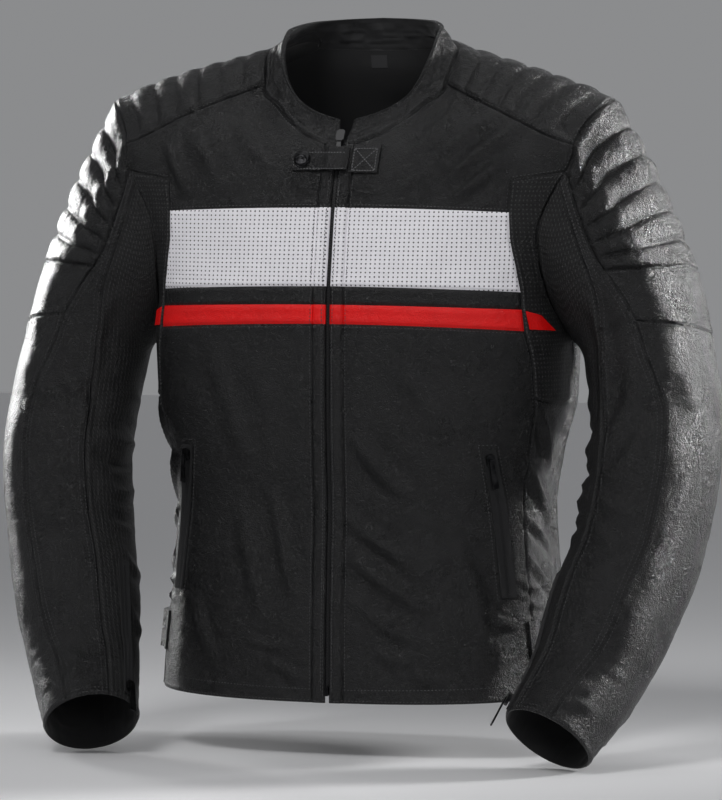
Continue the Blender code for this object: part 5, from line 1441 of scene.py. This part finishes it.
def make_camera():
    azimuth, elevation = math.radians(CAMERA_AZIMUTH), math.radians(CAMERA_ELEVATION)
    ahead = Vector((-math.sin(azimuth) * math.cos(elevation), math.cos(azimuth) * math.cos(elevation),
                    -math.sin(elevation)))
    right = Vector((math.cos(azimuth), math.sin(azimuth), 0))
    data = bpy.data.cameras.new("camera")
    data.sensor_width = 36.0
    data.lens = 36.0 * CAMERA_DISTANCE / VIEW_HEIGHT
    camera = bpy.data.objects.new("camera", data)
    camera.location = Vector(AIM) - right * AIM_SHIFT - ahead * CAMERA_DISTANCE
    camera.rotation_euler = ahead.to_track_quat("-Z", "Y").to_euler()
    bpy.context.scene.collection.objects.link(camera)
    bpy.context.scene.camera = camera


def area_light(name, place, aim, size, power, spread):
    data = bpy.data.lights.new(name, "AREA")
    data.shape = "RECTANGLE"
    data.size, data.size_y = size
    data.energy = power
    data.spread = math.radians(spread)
    light = bpy.data.objects.new(name, data)
    light.location = place
    light.rotation_euler = (Vector(aim) - Vector(place)).to_track_quat("-Z", "Y").to_euler()
    bpy.context.scene.collection.objects.link(light)


LIGHTS = [                    # name, place, where it aims, width and height, watts, spread in degrees
    ("left_strip", (-1.5, 1.0, 0.2), (-0.3, 0, -0.04), (0.4, 0.5), 0.55, 26),
    ("right_strip", (1.6, 1.0, 0.2), (0.33, 0, -0.08), (0.4, 0.5), 2.4, 26),
    ("right_fill", (1.7, 0.9, 0.25), (0.28, 0, -0.26), (0.35, 0.6), 1.3, 30),
    ("left_fill", (-1.5, 1.0, 0.0), (-0.3, 0, -0.3), (0.35, 0.7), 0.7, 40),
    ("front_key", (-0.45, -1.9, 2.0), (0, 0, -0.2), (1.0, 0.8), 2.4, 44),
    ("low_front", (1.3, -2.0, 0.3), (0.1, 0, -0.35), (0.4, 0.9), 0.6, 50),
    ("top_soft", (0.1, 0.6, 1.6), (0, 0, -0.2), (1.2, 0.8), 1.0, 80),
]
FLOOR_LEVEL = -0.6236         # metres, just below the lower cuff
FLOOR_HALF = 6.0


def make_studio(floor_finish):
    world = bpy.data.worlds.new("studio")
    world.use_nodes = True
    sky = world.node_tree.nodes["Background"]
    sky.inputs["Color"].default_value = (0.86, 0.87, 0.89, 1)
    sky.inputs["Strength"].default_value = 0.30
    bpy.context.scene.world = world
    bpy.context.scene.view_settings.view_transform = "Standard"
    mesh = bpy.data.meshes.new("floor")
    corners = [(x * FLOOR_HALF, y * FLOOR_HALF, 0) for x, y in ((-1, -1), (1, -1), (1, 1), (-1, 1))]
    mesh.from_pydata(corners, [], [(0, 1, 2, 3)])
    mesh.materials.append(floor_finish)
    floor = bpy.data.objects.new("floor", mesh)
    floor.location.z = FLOOR_LEVEL
    bpy.context.scene.collection.objects.link(floor)
    for light in LIGHTS:
        area_light(*light)


# ---------------------------------------------------------------- everything

STITCHED = {                   # how far from the seam each row of stitches runs, in millimetres
    "front_upper": (2.6,), "front_lower": (2.6,), "side_panel": (2.6,), "armhole_mesh": (2.4,),
    "back": (2.6,), "yoke": (2.4,), "sleeve_mid": (2.4,), "sleeve_outer": (2.4,), "sleeve_front": (2.6, 7.0),
    "collar": (4.6,),
}
STITCHES_A_MESH = 4500         # a mesh of stitches is closed once it holds this many
HANGS_FROM = {                 # the pieces that each one is sewn to above, where that isn't the yokes
    "front_upper": ["yoke"], "white_band": ["front_upper"], "black_strip": ["white_band"],
    "red_stripe": ["black_strip"], "front_lower": ["red_stripe"], "armhole_mesh": ["front_upper"],
    "side_panel": ["armhole_mesh"], "sleeve_mid": ["sleeve_cap"], "sleeve_outer": ["sleeve_mid"],
    "sleeve_front": ["front_upper"], "sleeve_inner": ["armhole_mesh"],
}


def declare(cloth):
    """Says what the piece is and the flat size that it was cut to."""
    if "phase" in cloth.values:
        return
    a, b, c, d = (cloth.points[cloth.faces[:, k]] for k in range(4))
    area = np.linalg.norm(np.cross(c - a, d - b), axis=1).sum() / 2 * MM * MM
    width, length = (float(size) for size in np.ptp(cloth.values["uv"], axis=0) * MM)
    area = float(min(max(area * 1.03, 0.31 * width * length), width * length))
    tag = "_l" if cloth.side > 0 else "_r"
    above = [name + tag for name in HANGS_FROM.get(cloth.base, [])] or ["yoke_l", "yoke_r"]
    flat = [round(width / MM), round(length / MM), round(area / MM ** 2)]
    print("cut", cloth.name, "width, length and area in millimetres:", *flat)


def add_to_jacket(made, slot):
    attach(made, "jacket")


def dress_cloths(cloths, finishes):
    """Makes the shells of the cut pieces and their seams' stitches."""
    rows, threads = [], []

    def close_thread():
        threads.append(stitch_mesh("stitches_%d" % len(threads), np.vstack(rows), finishes["thread"]))
        rows.clear()

    for cloth in cloths.values():
        slot = PIECE_FINISH.get(cloth.base, "leather_black")
        made = shell(cloth, finishes[slot], finishes["lining"])
        add_to_jacket(made, slot)
        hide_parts(cloth.name)
        declare(cloth)
        if cloth.base in STITCHED:
            rows.append(sew(cloth, STITCHED[cloth.base]))
            if sum(map(len, rows)) > STITCHES_A_MESH or cloth.base == "collar":
                close_thread()
    close_thread()
    return threads


def solid_finish(name):
    """The finish of a solid that is carried over from the CAD model."""
    # Painted shade: the main slider and its pull lie in the shade under the collar, so they take the dark
    # teeth finish in place of metal.
    if name in ("main_slider", "main_pull"):
        return "teeth"
    return next((finish for word, finish in SOLID_FINISH.items() if word in name), "leather_black")


def main():
    finishes = make_finishes()
    cloths, form = build_cloths()
    folds, calm = place_folds(form), place_calm(form)
    for cloth in cloths.values():
        shape(cloth, folds, calm)
    small = dress_cloths(cloths, finishes)
    fine, heavy = detail_stitches(cloths)
    small.append(stitch_mesh("stitches_details", fine, finishes["thread"], thick=0.46))
    small.append(stitch_mesh("stitches_strap", heavy, finishes["thread_strap"], thick=0.55))
    add_to_jacket(snap_rings(finishes["metal_dark"]), "metal_dark")
    for made in small + all_teeth(form, finishes["teeth"]):
        add_to_jacket(made, "zip_tape")
    for name, node in frame["nodes"].items():
        if name not in cloths:
            node.data.materials.clear()
            node.data.materials.append(finishes[solid_finish(name)])
    make_camera()
    make_studio(finishes["floor"])


main()
